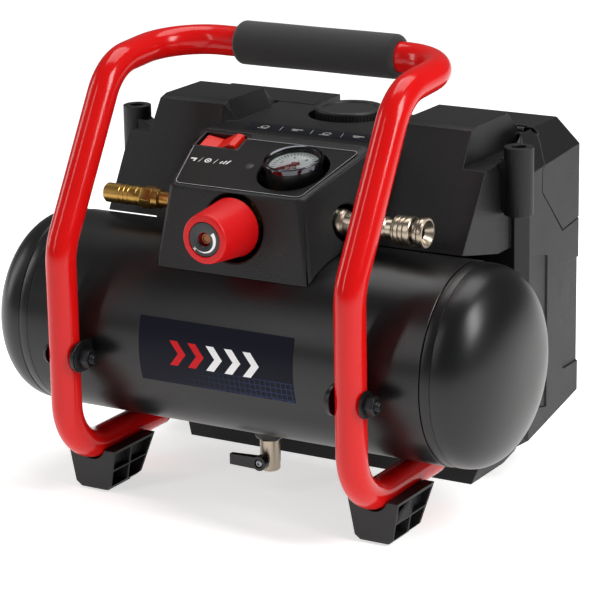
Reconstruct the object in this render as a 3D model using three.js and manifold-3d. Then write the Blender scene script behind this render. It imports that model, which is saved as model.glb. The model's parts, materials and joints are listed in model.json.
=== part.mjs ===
// Portable cordless air compressor: a six litre steel tank in a bent tube frame, with a
// piston pump under a moulded cover and a battery housing behind it.
// Millimetres, +Z up, -Y is the front, X runs along the tank, the origin is on the floor
// under the middle of the machine.
import * as THREE from 'three';
import { ConvexGeometry } from 'three/addons/geometries/ConvexGeometry.js';
import { mergeVertices } from 'three/addons/utils/BufferGeometryUtils.js';
import Module from 'manifold-3d';

const wasm = await Module();
wasm.setup();

// ---------------------------------------------------------------- driving dimensions
const GAP = 0.3;                 // clearance between pieces that touch
const RUN = 0.5;                 // running clearance between pieces that move

const TANK = {
  radius: 72, wall: 2, y: -43, z: 121, half: 160, skirt: 9, dome: 37, lap: 8, sides: 32,
};
const TUBE = { radius: 11, wall: 1.6, sides: 12, boreSides: 8, bendSteps: 4 };
const FRAME = {
  x: 117, y: -129.5, railZ: 36, railEnd: -14, kneeZ: 190, lean: 30.3, bendZ: 310,
  handleY: 25, handleZ: 316, railBend: 40, kneeBend: 45, topBend: 42, cornerBend: 41,
};
const GRIP = { radius: 16, endMargin: 10, offset: 7 };
const GRIP_LENGTH = 2 * (FRAME.x - FRAME.cornerBend - GRIP.endMargin);
const FOOT = {
  topHalf: 20, baseHalf: 14.5, front: -101.5, back: -47.5, baseBack: -61, top: 33, base: 1.8,
  spine: 5, web: 1.8, wall: 2.6, corner: 3.5, draft: 0.6,
};
const PAD = { width: 20, length: 30, depth: 3.4 };
const BOLT = {
  radius: 3.8, z: 112, head: 7.6, headThick: 4.5, nut: 7.2, nutThick: 7, flange: 1.6, brim: 2.6,
  spare: 3, root: 0.5,
};
const TAB = { thick: 3.2, half: 11 };

const CONSOLE = {
  frontY: -93.8, frontZ: 172, frontHalf: 65.6, edgeY: -84.5, edgeZ: 233.6, edgeHalf: 54,
  backY: -14, backZ: 260, backHalf: 71, baseHalf: 75, wall: 2.6,
};
const KNOB = { y: -124.5, z: 209.5, frontR: 17.6, baseR: 21.2, length: 38, bore: 5,
  clearance: 2.3 };
const GAUGE = { x: 29, y: -52, z: 254, radius: 21.5, depth: 24, tilt: 12, zero: 135,
  clearance: 4.5 };
const SWITCH = { x: -45.5, y: -27, width: 39, depth: 21 };
const OUTLET = { y: -47, z: 211.5, well: 13 };

const COVER = {
  wall: 2.6, shoulderIn: 74, shoulderOut: 130, shoulderZ: 271, ridgeY: 31, shoulderBack: 79,
  faceY: 23, faceZ: 268.6, saddleZ: 257.5, saddleFront: -11, slopeIn: 62, back: 95.5,
  footY: -25, footZ: 191.5, footOut: 147, heelZ: 181, flareTop: 244.5, flareIn: 100,
  flareX: 148.5, flareBackX: 140, sideX: 149, brinkY: 39, brinkZ: 218, brinkLowY: 27, seamY: 45,
  seamZ: 232, throat: 14,
};
const BOSS = { x: 160, y: 36.5, radius: 10.6, bore: 5.2, top: 258, bottom: 209 };
const REAR = {
  half: 158.6, back: 140.5, frontY: 57, neckY: 46, neckHalf: 152, topZ: 257, topHalf: 140,
  sideTop: 239, bottomBack: 50, bottomFront: 33, wall: 3, baseHalf: 121.5, baseFront: 38.6,
  baseBack: 111,
};
const LID = {
  front: 100, hipY: 78, hipTop: 231, hipLow: 216, tipY: 113, tipZ: 180, backZ: 186,
  notchHalf: 42.5, notchZ: 247, wall: 3, clearance: 0.4,
};
const HINGE = { y: 99, z: 253.8, pin: 1.5, knuckle: 3, x: 126, width: 8 };
const PACK = { width: 76, thick: 37, height: 112, x: 90, y: 117.5, bottom: 124 };
const DOCK = { wall: 2.4, floor: 118, top: 176 };
const CAP = { y: 80, radius: 26, top: 263, height: 15, fingers: 5, wellFloor: 245, cup: 2 };
const FILTER = { radius: 20, height: 9 };
const KNOB_WELL = KNOB.baseR + KNOB.clearance;
const GAUGE_WELL = GAUGE.radius + GAUGE.clearance;
const CAP_WELL = CAP.radius + CAP.fingers;


const MOTOR = { y: 52, z: 212, radius: 21, left: -66, right: 8, shaft: 4 };
const FAN = { x: -104, radius: 20, hub: 8, blades: 7, thick: 11 };
const CRANK = { x: 76, disc: 15, thick: 7, throw: 6, pin: 3, pinLength: 4 };
const CASE = { x0: 70, x1: 112, half: 19.5, bottom: 190.8, top: 236, wall: 2.6 };
const CYL = {
  x: CRANK.x + CRANK.thick + CRANK.pinLength + RUN + 3, bore: 14, wall: 3.2, top: 252,
  headTop: 264,
};
const DECK = { z: 187.5, thick: 2.8, front: 2.5, back: 90, half: 112 };
const CHECK = { x: 30, y: -22, radius: 7, bottom: 186, top: 212, port: 206 };
const PIPE = { radius: 3, y: 27 };

// ---------------------------------------------------------------- materials
function finish(color, roughness, metalness) {
  return new THREE.MeshStandardMaterial({ color, roughness, metalness });
}
const RED = finish(0xc4141c, 0.3, 0.1);
const RED_PLASTIC = finish(0xc8161e, 0.38, 0);
const TANK_PAINT = finish(0x1a1b1d, 0.3, 0.2);
const BLACK_PLASTIC = finish(0x232425, 0.6, 0);
const GREY_PLASTIC = finish(0x333335, 0.55, 0);
const FOAM = finish(0x1b1b1b, 0.95, 0);
const RUBBER = finish(0x1d1d1e, 0.8, 0);
const BRASS = finish(0xb8954e, 0.3, 1);
const NICKEL = finish(0xb9b4aa, 0.28, 1);
const STEEL = finish(0x8d9093, 0.35, 1);
const DARK_STEEL = finish(0x2b2c2e, 0.45, 0.8);
const ALUMINIUM = finish(0xa9abad, 0.45, 1);
const CHROME = finish(0xd5d7d9, 0.12, 1);
const DIAL = finish(0xe9e9e4, 0.6, 0);
const GLASS = finish(0xf2f6f7, 0.05, 0);
const BOARD = finish(0x1f5a36, 0.6, 0);

// ---------------------------------------------------------------- solids
function solid(geometry) {
  const bare = geometry.clone();
  bare.deleteAttribute('normal');
  bare.deleteAttribute('uv');
  const merged = mergeVertices(bare, 1e-4);
  return new wasm.Manifold(new wasm.Mesh({
    numProp: 3,
    vertProperties: new Float32Array(merged.attributes.position.array),
    triVerts: new Uint32Array(merged.index.array),
  }));
}

function geometryOf(body) {
  const mesh = body.getMesh();
  const geometry = new THREE.BufferGeometry();
  geometry.setAttribute('position', new THREE.BufferAttribute(mesh.vertProperties, 3));
  geometry.setIndex(new THREE.BufferAttribute(mesh.triVerts, 1));
  return geometry;
}

function join(first, ...others) {
  return others.reduce((sum, next) => sum.add(next), first);
}

function cut(first, ...others) {
  return others.reduce((rest, next) => rest.subtract(next), first);
}

function hull(points) {
  return solid(new ConvexGeometry(points.map((p) => new THREE.Vector3(...p))));
}

// The same outline at both ends of X: points are [half width, y, z].
function mirroredHull(points) {
  return hull(points.flatMap(([x, y, z]) => [[x, y, z], [-x, y, z]]));
}

function box(x0, x1, y0, y1, z0, z1) {
  const geometry = new THREE.BoxGeometry(x1 - x0, y1 - y0, z1 - z0);
  geometry.translate((x0 + x1) / 2, (y0 + y1) / 2, (z0 + z1) / 2);
  return solid(geometry);
}

// A turned body: outline is [radius, height] pairs, standing along +Z before it is placed.
function turned(outline, segments = 24) {
  const points = outline.map(([r, h]) => new THREE.Vector2(r, h));
  const geometry = new THREE.LatheGeometry(points, segments);
  geometry.rotateX(Math.PI / 2);
  return solid(geometry);
}

// Turns a body that stands on +Z so that it points along an axis, then moves it.
function placed(body, axis, at) {
  const turns = {
    x: [0, 90, 0], '-x': [0, -90, 0], y: [-90, 0, 0], '-y': [90, 0, 0], z: [0, 0, 0],
    '-z': [180, 0, 0],
  };
  return body.rotate(turns[axis]).translate(at);
}

function rod(radius, length, axis, at, segments = 20) {
  return placed(turned([[0, 0], [radius, 0], [radius, length], [0, length]], segments), axis, at);
}

function ring(inner, outer, length, axis, at, segments = 24) {
  const outline = [[inner, 0], [outer, 0], [outer, length], [inner, length], [inner, 0]];
  return placed(turned(outline, segments), axis, at);
}

// An outline in the YZ plane carried along X.
function sidePrism(outline, x0, x1) {
  const shape = new THREE.Shape(outline.map(([y, z]) => new THREE.Vector2(y, z)));
  const geometry = new THREE.ExtrudeGeometry(shape, { depth: x1 - x0, bevelEnabled: false });
  geometry.rotateY(Math.PI / 2);
  geometry.rotateX(Math.PI / 2);
  geometry.translate(x0, 0, 0);
  return solid(geometry);
}

function sweep(curve, radius, steps, sides) {
  const circle = new THREE.Shape();
  for (let i = 0; i < sides; i += 1) {
    const angle = (i / sides) * 2 * Math.PI;
    const point = [radius * Math.cos(angle), radius * Math.sin(angle)];
    if (i === 0) circle.moveTo(...point);
    else circle.lineTo(...point);
  }
  const settings = { steps, extrudePath: curve, bevelEnabled: false };
  return solid(new THREE.ExtrudeGeometry(circle, settings));
}

// A route of straight runs joined by round bends: one step to a run and a few to a bend.
class BentPath extends THREE.Curve {
  constructor(corners, radii, bendSteps) {
    super();
    this.points = [];
    const nodes = corners.map((corner) => new THREE.Vector3(...corner));
    let heading = nodes[1].clone().sub(nodes[0]).normalize();
    this.points.push([nodes[0], heading]);
    for (let i = 1; i < nodes.length - 1; i += 1) {
      const next = nodes[i + 1].clone().sub(nodes[i]).normalize();
      const turn = heading.angleTo(next);
      const setback = radii[i - 1] * Math.tan(turn / 2);
      const start = nodes[i].clone().addScaledVector(heading, -setback);
      const axis = heading.clone().cross(next).normalize();
      const arm = start.clone().sub(this.centre(start, heading, axis, radii[i - 1]));
      for (let step = 0; step <= bendSteps; step += 1) {
        const angle = (step / bendSteps) * turn;
        const centre = this.centre(start, heading, axis, radii[i - 1]);
        const point = centre.add(arm.clone().applyAxisAngle(axis, angle));
        this.points.push([point, heading.clone().applyAxisAngle(axis, angle)]);
      }
      heading = next;
    }
    this.points.push([nodes.at(-1), heading]);
  }

  centre(start, heading, axis, radius) {
    return start.clone().addScaledVector(axis.clone().cross(heading), radius);
  }

  get steps() {
    return this.points.length - 1;
  }

  getPoint(t) {
    return this.points[Math.round(t * this.steps)][0].clone();
  }

  getPointAt(t) {
    return this.getPoint(t);
  }

  getTangentAt(t) {
    return this.points[Math.round(t * this.steps)][1].clone();
  }
}

// ---------------------------------------------------------------- the object
const compressor = new THREE.Group();
compressor.name = 'air_compressor';

function add(name, body, material) {
  const mesh = new THREE.Mesh(geometryOf(body), material);
  mesh.name = name;
  compressor.add(mesh);
}

const SIDES = [['left', -1], ['right', 1]];

function tankSpace(extra) {
  return rod(TANK.radius + extra, 2 * (TANK.half + 60), 'x',
    [-(TANK.half + 60), TANK.y, TANK.z], TANK.sides);
}

// ---- tank: a rolled barrel with a pressed dome lapped into each end
function domeOutline(radius, depth, start) {
  const outline = [];
  const steps = 6;
  for (let i = 0; i <= steps; i += 1) {
    const angle = (i / steps) * (Math.PI / 2);
    const squareness = 0.86;
    const r = radius * Math.cos(angle) ** squareness;
    outline.push([i === steps ? 0 : r, start + depth * Math.sin(angle) ** squareness]);
  }
  return outline;
}

function addTank() {
  const drainAt = [0, TANK.y, TANK.z - TANK.radius - 5];
  const drain = rod(5.6, 12, 'z', drainAt);
  const inlet = rod(CHECK.radius - 1, 30, 'z', [CHECK.x, CHECK.y, CHECK.bottom - 20], 16);
  const barrel = ring(TANK.radius - TANK.wall, TANK.radius, 2 * TANK.half, 'x',
    [-TANK.half, TANK.y, TANK.z], TANK.sides);
  add('tank_barrel', cut(barrel, drain, inlet), TANK_PAINT);

  const spigot = TANK.radius - TANK.wall - GAP;
  const outer = TANK.radius - 0.8;
  for (const [side, sign] of SIDES) {
    const crown = domeOutline(outer, TANK.dome, TANK.skirt);
    const hollow = domeOutline(spigot - TANK.wall, TANK.dome - TANK.wall, TANK.skirt);
    const shell = turned([
      [spigot - TANK.wall, -TANK.lap], [spigot, -TANK.lap], [spigot, GAP], [outer, GAP],
      ...crown, ...hollow.reverse(), [spigot - TANK.wall, -TANK.lap],
    ], TANK.sides);
    add(`tank_dome_${side}`, placed(shell, sign > 0 ? 'x' : '-x',
      [sign * TANK.half, TANK.y, TANK.z]), TANK_PAINT);
  }
}

// ---- frame: one bent tube, with welded tank tabs, bolts, end plugs and a foam grip
function framePath() {
  const rise = FRAME.bendZ - FRAME.kneeZ;
  const bendY = FRAME.y + rise * Math.tan(THREE.MathUtils.degToRad(FRAME.lean));
  const half = [
    [FRAME.x, FRAME.railEnd, FRAME.railZ],
    [FRAME.x, FRAME.y, FRAME.railZ],
    [FRAME.x, FRAME.y, FRAME.kneeZ],
    [FRAME.x, bendY, FRAME.bendZ],
    [FRAME.x, FRAME.handleY, FRAME.handleZ],
  ];
  const mirrored = half.map(([x, y, z]) => [-x, y, z]).reverse();
  const bends = [FRAME.railBend, FRAME.kneeBend, FRAME.topBend, FRAME.cornerBend];
  return new BentPath([...half, ...mirrored], [...bends, ...[...bends].reverse()],
    TUBE.bendSteps);
}

function addFrame() {
  const path = framePath();
  const wall = sweep(path, TUBE.radius, path.steps, TUBE.sides);
  const bore = sweep(path, TUBE.radius - TUBE.wall, path.steps, TUBE.boreSides);
  const boltHoles = SIDES.map(([, sign]) => rod(BOLT.radius + GAP, 2 * TUBE.radius + 4, 'x',
    [sign * FRAME.x - TUBE.radius - 2, FRAME.y, BOLT.z], 16));
  add('frame_tube', cut(wall, bore, ...boltHoles), RED);

  const gripBore = TUBE.radius + GAP;
  const soft = 4;
  const outline = [
    [gripBore, 0], [GRIP.radius - soft, 0], [GRIP.radius - 1.2, 1.2], [GRIP.radius, soft],
    [GRIP.radius, GRIP_LENGTH - soft], [GRIP.radius - 1.2, GRIP_LENGTH - 1.2],
    [GRIP.radius - soft, GRIP_LENGTH], [gripBore, GRIP_LENGTH], [gripBore, 0],
  ];
  add('handle_grip', placed(turned(outline, 28), 'x',
    [GRIP.offset - GRIP_LENGTH / 2, FRAME.handleY, FRAME.handleZ]), FOAM);

  for (const [side, sign] of SIDES) {
    const at = [sign * FRAME.x, FRAME.railEnd, FRAME.railZ];
    const spigot = TUBE.radius - TUBE.wall - 1;
    const plug = turned([[0, -9], [spigot, -9], [spigot, GAP], [TUBE.radius, GAP],
      [TUBE.radius, 2], [TUBE.radius - 2, 4], [0, 4]], TUBE.sides);
    add(`tube_plug_${side}`, placed(plug, 'y', at), RUBBER);
    addFrameBolt(side, sign);
    addFoot(side, sign);
  }
}

function addFrameBolt(side, sign) {
  const inner = sign * (FRAME.x - TUBE.radius - GAP);
  const tabEnd = inner - sign * TAB.thick;
  const outer = sign * (FRAME.x + TUBE.radius + GAP);
  const plate = join(
    box(Math.min(inner, tabEnd), Math.max(inner, tabEnd), FRAME.y, TANK.y - 40,
      BOLT.z - TAB.half, BOLT.z + TAB.half),
    rod(TAB.half, TAB.thick, 'x', [Math.min(inner, tabEnd), FRAME.y, BOLT.z], 16),
  );
  const hole = rod(BOLT.radius + GAP, TAB.thick + 2, 'x',
    [Math.min(inner, tabEnd) - 1, FRAME.y, BOLT.z], 16);
  add(`tank_tab_${side}`, cut(plate, tankSpace(GAP), hole), TANK_PAINT);

  // The left bolt goes in from outside, the right one from inside.
  const headOutside = sign < 0;
  const headAt = headOutside ? outer : tabEnd - sign * GAP;
  const nutAt = headOutside ? tabEnd - sign * GAP : outer;
  const headAxis = headAt > nutAt ? 'x' : '-x';
  const nutAxis = headAxis === 'x' ? '-x' : 'x';
  const grip = Math.abs(headAt - nutAt);
  const tail = BOLT.nutThick + BOLT.flange + BOLT.spare;
  const bolt = join(
    placed(turned([[0, 0], [BOLT.head, 0], [BOLT.head, 1.4], [BOLT.head * 0.8, 3.4],
      [BOLT.head * 0.45, BOLT.headThick], [0, BOLT.headThick]], 14), headAxis,
      [headAt, FRAME.y, BOLT.z]),
    rod(BOLT.radius, grip + tail + BOLT.root, nutAxis,
      [headAt + (headAxis === 'x' ? BOLT.root : -BOLT.root), FRAME.y, BOLT.z], 12),
  );
  add(`frame_bolt_${side}`, bolt, DARK_STEEL);
  const nut = join(
    turned([[0, 0], [BOLT.nut + BOLT.brim, 0], [BOLT.nut + BOLT.brim, BOLT.flange],
      [0, BOLT.flange]], 14),
    turned([[0, BOLT.root], [BOLT.nut, BOLT.root], [BOLT.nut, BOLT.flange + BOLT.nutThick],
      [0, BOLT.flange + BOLT.nutThick]], 6),
  );
  const thread = rod(BOLT.radius + GAP, 20, 'z', [0, 0, -2], 16);
  add(`frame_nut_${side}`, placed(cut(nut, thread), nutAxis, [nutAt, FRAME.y, BOLT.z]),
    DARK_STEEL);
}

// ---- feet: tapered ribbed blocks that cradle the rail, open in cells on both flanks
function footBack(z) {
  return THREE.MathUtils.mapLinear(z, FOOT.base, FOOT.top, FOOT.baseBack, FOOT.back);
}

function addFoot(side, sign) {
  const x = sign * FRAME.x;
  const block = hull([-1, 1].flatMap((flank) => [
    [x + flank * FOOT.topHalf, FOOT.front, FOOT.top],
    [x + flank * FOOT.topHalf, FOOT.back, FOOT.top],
    [x + flank * (FOOT.baseHalf + FOOT.draft), FOOT.front + 1, FOOT.base + FOOT.corner],
    [x + flank * (FOOT.baseHalf + FOOT.draft), footBack(FOOT.base + FOOT.corner),
      FOOT.base + FOOT.corner],
    [x + flank * (FOOT.baseHalf - FOOT.corner), FOOT.front + 1.5, FOOT.base],
    [x + flank * (FOOT.baseHalf - FOOT.corner), FOOT.baseBack, FOOT.base],
  ]));
  const saddle = rod(TUBE.radius + GAP, 90, 'y', [x, FOOT.front - 20, FRAME.railZ], 20);
  const middleY = (FOOT.front + (FOOT.back + FOOT.baseBack) / 2) / 2;
  const middleZ = (FOOT.base + FOOT.top) / 2;
  const half = FOOT.web / 2;
  const rows = [
    [FOOT.base + FOOT.wall, middleZ - half, FOOT.spine / 2],
    [middleZ + half, FOOT.top - FOOT.wall, TUBE.radius + FOOT.wall / 2],
  ];
  const cells = [-1, 1].flatMap((flank) => rows.flatMap(([low, high, inner]) => {
    const depth = [x + flank * inner, x + flank * (FOOT.topHalf + FOOT.wall)];
    return [
      hull(depth.flatMap((u) => [low, high].flatMap((z) => [
        [u, FOOT.front + FOOT.wall, z], [u, middleY - half, z]]))),
      hull(depth.flatMap((u) => [low, high].flatMap((z) => [
        [u, middleY + half, z], [u, footBack(z) - FOOT.wall, z]]))),
    ];
  }));
  const padY = (FOOT.front + FOOT.baseBack) / 2;
  const seat = box(x - PAD.width / 2, x + PAD.width / 2, padY - PAD.length / 2,
    padY + PAD.length / 2, 0, PAD.depth);
  add(`foot_${side}`, cut(block, saddle, ...cells, seat), RUBBER);
  add(`foot_pad_${side}`, box(x - PAD.width / 2 + GAP, x + PAD.width / 2 - GAP,
    padY - PAD.length / 2 + GAP, padY + PAD.length / 2 - GAP, 0, PAD.depth - GAP), FOAM);
}

// ---- drain valve under the tank: boss, ball valve body, lever and its screw
const DRAIN = { top: TANK.z - TANK.radius, boss: 11, bossThick: 7, body: 7.5, bodyEnd: 18,
  leverZ: 27, leverLength: 24.5, leverWide: 9, leverThick: 6 };

function addDrain() {
  const bossTop = DRAIN.top - GAP;
  const boss = turned([[0, 0], [DRAIN.boss - 1.5, 0], [DRAIN.boss, 1.5],
    [DRAIN.boss, DRAIN.bossThick + 3], [0, DRAIN.bossThick + 3]], 6);
  const bossZ = bossTop - DRAIN.bossThick;
  const socket = rod(5.6, 30, 'z', [0, TANK.y, bossZ - 5]);
  add('drain_boss', cut(placed(boss, 'z', [0, TANK.y, bossZ]), socket, tankSpace(GAP)),
    DARK_STEEL);

  const length = bossZ - GAP - DRAIN.bodyEnd;
  const shape = turned([[0, 0], [6.2, 0], [7.2, 1.2], [7.2, 6], [DRAIN.body, 6.6],
    [DRAIN.body, length], [0, length]], 24);
  const tail = rod(5, 12, 'z', [0, TANK.y, bossZ - 1], 16);
  const stem = rod(3.2, 4, '-y', [0, TANK.y - DRAIN.body + 1, DRAIN.leverZ], 16);
  const bore = rod(2.6, 40, 'z', [0, TANK.y, DRAIN.bodyEnd - 2], 16);
  const body = join(placed(shape, 'z', [0, TANK.y, DRAIN.bodyEnd]), tail, stem);
  add('drain_valve_body', cut(body, bore), NICKEL);

  const y0 = TANK.y - DRAIN.body - 3 - GAP;
  const hub = rod(DRAIN.leverWide / 2 + 1, DRAIN.leverThick, '-y', [0, y0, DRAIN.leverZ], 24);
  const blade = hull([
    [0, y0, DRAIN.leverZ - 4.5], [0, y0, DRAIN.leverZ + 4.5],
    [0, y0 - DRAIN.leverThick, DRAIN.leverZ - 4.5], [0, y0 - DRAIN.leverThick, DRAIN.leverZ + 4.5],
    [-DRAIN.leverLength, y0 - 2, DRAIN.leverZ - 4], [-DRAIN.leverLength, y0 - 2, DRAIN.leverZ + 4],
    [-DRAIN.leverLength, y0 - DRAIN.leverThick, DRAIN.leverZ - 4],
    [-DRAIN.leverLength, y0 - DRAIN.leverThick, DRAIN.leverZ + 4],
  ]);
  const recess = rod(3.4, 3, '-y', [0, y0 - DRAIN.leverThick + 2, DRAIN.leverZ], 20);
  add('drain_lever', cut(join(hub, blade), recess), BLACK_PLASTIC);
  add('drain_lever_screw', rod(2.8, 1.6, '-y',
    [0, y0 - DRAIN.leverThick + 2 - GAP, DRAIN.leverZ], 16), STEEL);
}

// ---- console: the sloped control housing on the front of the tank
const FACE_SLOPE = (COVER.faceY - COVER.footY) / (COVER.faceZ - COVER.footZ);
const PANEL_SLOPE = Math.atan2(CONSOLE.backZ - CONSOLE.edgeZ, CONSOLE.backY - CONSOLE.edgeY);
const PANEL_TILT = THREE.MathUtils.radToDeg(PANEL_SLOPE);

function panelZ(y) {
  return CONSOLE.edgeZ + (y - CONSOLE.edgeY) * Math.tan(PANEL_SLOPE);
}

function consoleBlock(inset) {
  const round = 4;
  return mirroredHull([
    [CONSOLE.frontHalf - inset, CONSOLE.frontY + inset, CONSOLE.frontZ - 20],
    [CONSOLE.frontHalf + 2 - inset, CONSOLE.frontY + round + inset, CONSOLE.frontZ - 20],
    [CONSOLE.edgeHalf - round - inset, CONSOLE.edgeY + inset, CONSOLE.edgeZ - 1 - inset],
    [CONSOLE.edgeHalf + 1 - inset, CONSOLE.edgeY + round + inset, CONSOLE.edgeZ - inset],
    [CONSOLE.edgeHalf - round - inset, CONSOLE.edgeY + 1.5 + inset, CONSOLE.edgeZ + 0.6 - inset],
    [CONSOLE.backHalf - inset, CONSOLE.backY, CONSOLE.backZ - 3 - inset],
    [CONSOLE.backHalf - 6 - inset, CONSOLE.backY, CONSOLE.backZ - inset],
    [CONSOLE.baseHalf - inset, CONSOLE.backY, CONSOLE.frontZ - 20],
  ]);
}

function tiltedRod(radius, length, x, y, z, tilt, segments = 28) {
  return rod(radius, length, 'z', [0, 0, -length / 2], segments).rotate([tilt, 0, 0])
    .translate([x, y, z]);
}

function addConsole() {
  const inner = consoleBlock(CONSOLE.wall).add(box(-CONSOLE.baseHalf + CONSOLE.wall,
    CONSOLE.baseHalf - CONSOLE.wall, CONSOLE.backY - 6, CONSOLE.backY + 5,
    CONSOLE.frontZ, CONSOLE.backZ - 8));
  const shell = cut(consoleBlock(0), inner);
  const knobWell = placed(turned([[0, 0], [KNOB_WELL, 0], [KNOB_WELL + 3, 14], [0, 14]], 28), '-y',
    [0, CONSOLE.edgeY + 2, KNOB.z]);
  const knobHole = rod(KNOB_WELL, 30, '-y', [0, CONSOLE.edgeY + 14, KNOB.z], 28);
  const gaugeHole = tiltedRod(GAUGE_WELL, 40, GAUGE.x, GAUGE.y, panelZ(GAUGE.y), PANEL_TILT, 28);
  const switchHole = box(SWITCH.x - SWITCH.width / 2, SWITCH.x + SWITCH.width / 2,
    -SWITCH.depth / 2, SWITCH.depth / 2, -20, 20).rotate([PANEL_TILT, 0, 0])
    .translate([0, SWITCH.y, panelZ(SWITCH.y)]);
  const sideHoles = rod(OUTLET.well, 200, 'x', [-100, OUTLET.y, OUTLET.z], 28);
  const holes = [knobWell, knobHole, gaugeHole, switchHole, sideHoles];
  add('console_housing', cut(shell, ...holes, tankSpace(GAP)), BLACK_PLASTIC);
}

// ---- rocker switch in the console
function addSwitch() {
  const place = (body) => body.rotate([PANEL_TILT, 0, 0])
    .translate([SWITCH.x, SWITCH.y, panelZ(SWITCH.y)]);
  const width = SWITCH.width - 2 * GAP;
  const depth = SWITCH.depth - 2 * GAP;
  const wall = 2;
  const tray = cut(
    box(-width / 2, width / 2, -depth / 2, depth / 2, -16, -0.6),
    box(-width / 2 + wall, width / 2 - wall, -depth / 2 + wall, depth / 2 - wall, -13, 1),
  );
  add('switch_frame', place(tray), BLACK_PLASTIC);
  const rockerHalf = width / 2 - wall - 1.6;
  const across = depth / 2 - wall - RUN;
  const outline = [[-rockerHalf, -5.4], [-rockerHalf, -2.2], [-2, -4.2], [rockerHalf - 5, 2],
    [rockerHalf, 1.2], [rockerHalf, -5.4], [0, -9.5]];
  const shape = new THREE.Shape(outline.map(([u, v]) => new THREE.Vector2(u, v)));
  const blade = new THREE.ExtrudeGeometry(shape, { depth: 2 * across, bevelEnabled: false });
  blade.translate(0, 0, -across);
  blade.rotateX(Math.PI / 2);
  add('rocker_switch', place(solid(blade)), RED_PLASTIC);
}

// ---- regulator: body in the console, red knob, its dark inset disc
function addRegulator() {
  const faceY = KNOB.y;
  const baseY = faceY + KNOB.length;
  const bodyY = baseY + RUN;
  const bonnet = join(
    rod(15, 30, 'y', [0, bodyY, KNOB.z], 24),
    rod(KNOB.bore - 1.2, KNOB.length - 8, '-y', [0, bodyY + 1, KNOB.z], 16),
  );
  const airway = rod(3, 20, '-y', [0, bodyY + 31, KNOB.z], 12);
  add('regulator_body', cut(bonnet, airway), BRASS);

  const shell = turned([[0, 0], [KNOB.baseR, 0], [KNOB.baseR, 1.5], [KNOB.frontR, KNOB.length - 2],
    [KNOB.frontR - 2, KNOB.length], [0, KNOB.length]], 28);
  const discR = KNOB.frontR - 5.4;
  const face = rod(discR + GAP, 4, 'z', [0, 0, KNOB.length - 2.4], 32);
  const hollow = rod(KNOB.bore, KNOB.length + 2, 'z', [0, 0, -1], 20);
  add('regulator_knob', placed(cut(shell, face, hollow), '-y', [0, baseY, KNOB.z]), RED_PLASTIC);
  add('knob_inset', placed(ring(KNOB.bore, discR, 1.8, 'z', [0, 0, KNOB.length - 2.4 + GAP], 32),
    '-y', [0, baseY, KNOB.z]), GREY_PLASTIC);
}

// ---- pressure gauge, tilted a little to the front
function addGauge() {
  const place = (body) => body.rotate([GAUGE.tilt, 0, 0]).translate([GAUGE.x, GAUGE.y, GAUGE.z]);
  const r = GAUGE.radius;
  const can = turned([[0, -GAUGE.depth], [r - 4, -GAUGE.depth], [r - 1.6, -GAUGE.depth + 3],
    [r - 1.6, -1], [r - 3.2, -1], [r - 3.2, -6], [0, -6]], 28);
  add('gauge_case', place(can), BLACK_PLASTIC);
  const rim = turned([[r - 1.3, -3.4], [r, -3.4], [r, 0.2], [r - 1, 1], [r - 3.2, 0.2],
    [r - 3.2, -0.7], [r - 1.3, -0.7], [r - 1.3, -3.4]], 28);
  add('gauge_bezel', place(rim), CHROME);
  const dial = ring(1.6, r - 3.6, 0.8, 'z', [0, 0, -6 + GAP], 28);
  add('gauge_dial', place(dial), DIAL);
  const needleZ = -6 + GAP + 0.8 + 0.4;
  const needle = join(rod(1.8, 1, 'z', [0, 0, needleZ], 16),
    hull([[-0.7, -4, needleZ], [0.7, -4, needleZ], [-0.25, r - 7, needleZ],
      [0.25, r - 7, needleZ], [-0.7, -4, needleZ + 0.8], [0.7, -4, needleZ + 0.8],
      [-0.25, r - 7, needleZ + 0.8], [0.25, r - 7, needleZ + 0.8]]));
  add('gauge_needle', place(needle.rotate([0, 0, GAUGE.zero])), RED_PLASTIC);
  const lens = rod(r - 3.5, 1.4, 'z', [0, 0, -2.4], 28);
  add('gauge_lens', place(lens), GLASS);
}

// ---- outlets: one manifold pipe across the console, safety valve left, coupling right
const MANIFOLD = { radius: 8.5, half: 62 };
const SAFETY = { hex: 8.6, union: 9.4, waist: 5.6, barrel: 7.2, end: -132 };
const COUPLER = { neck: 8, bodyEnd: 107, sleeve: 10.4, sleeveLength: 15, end: 132, bore: 5.2 };

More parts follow.
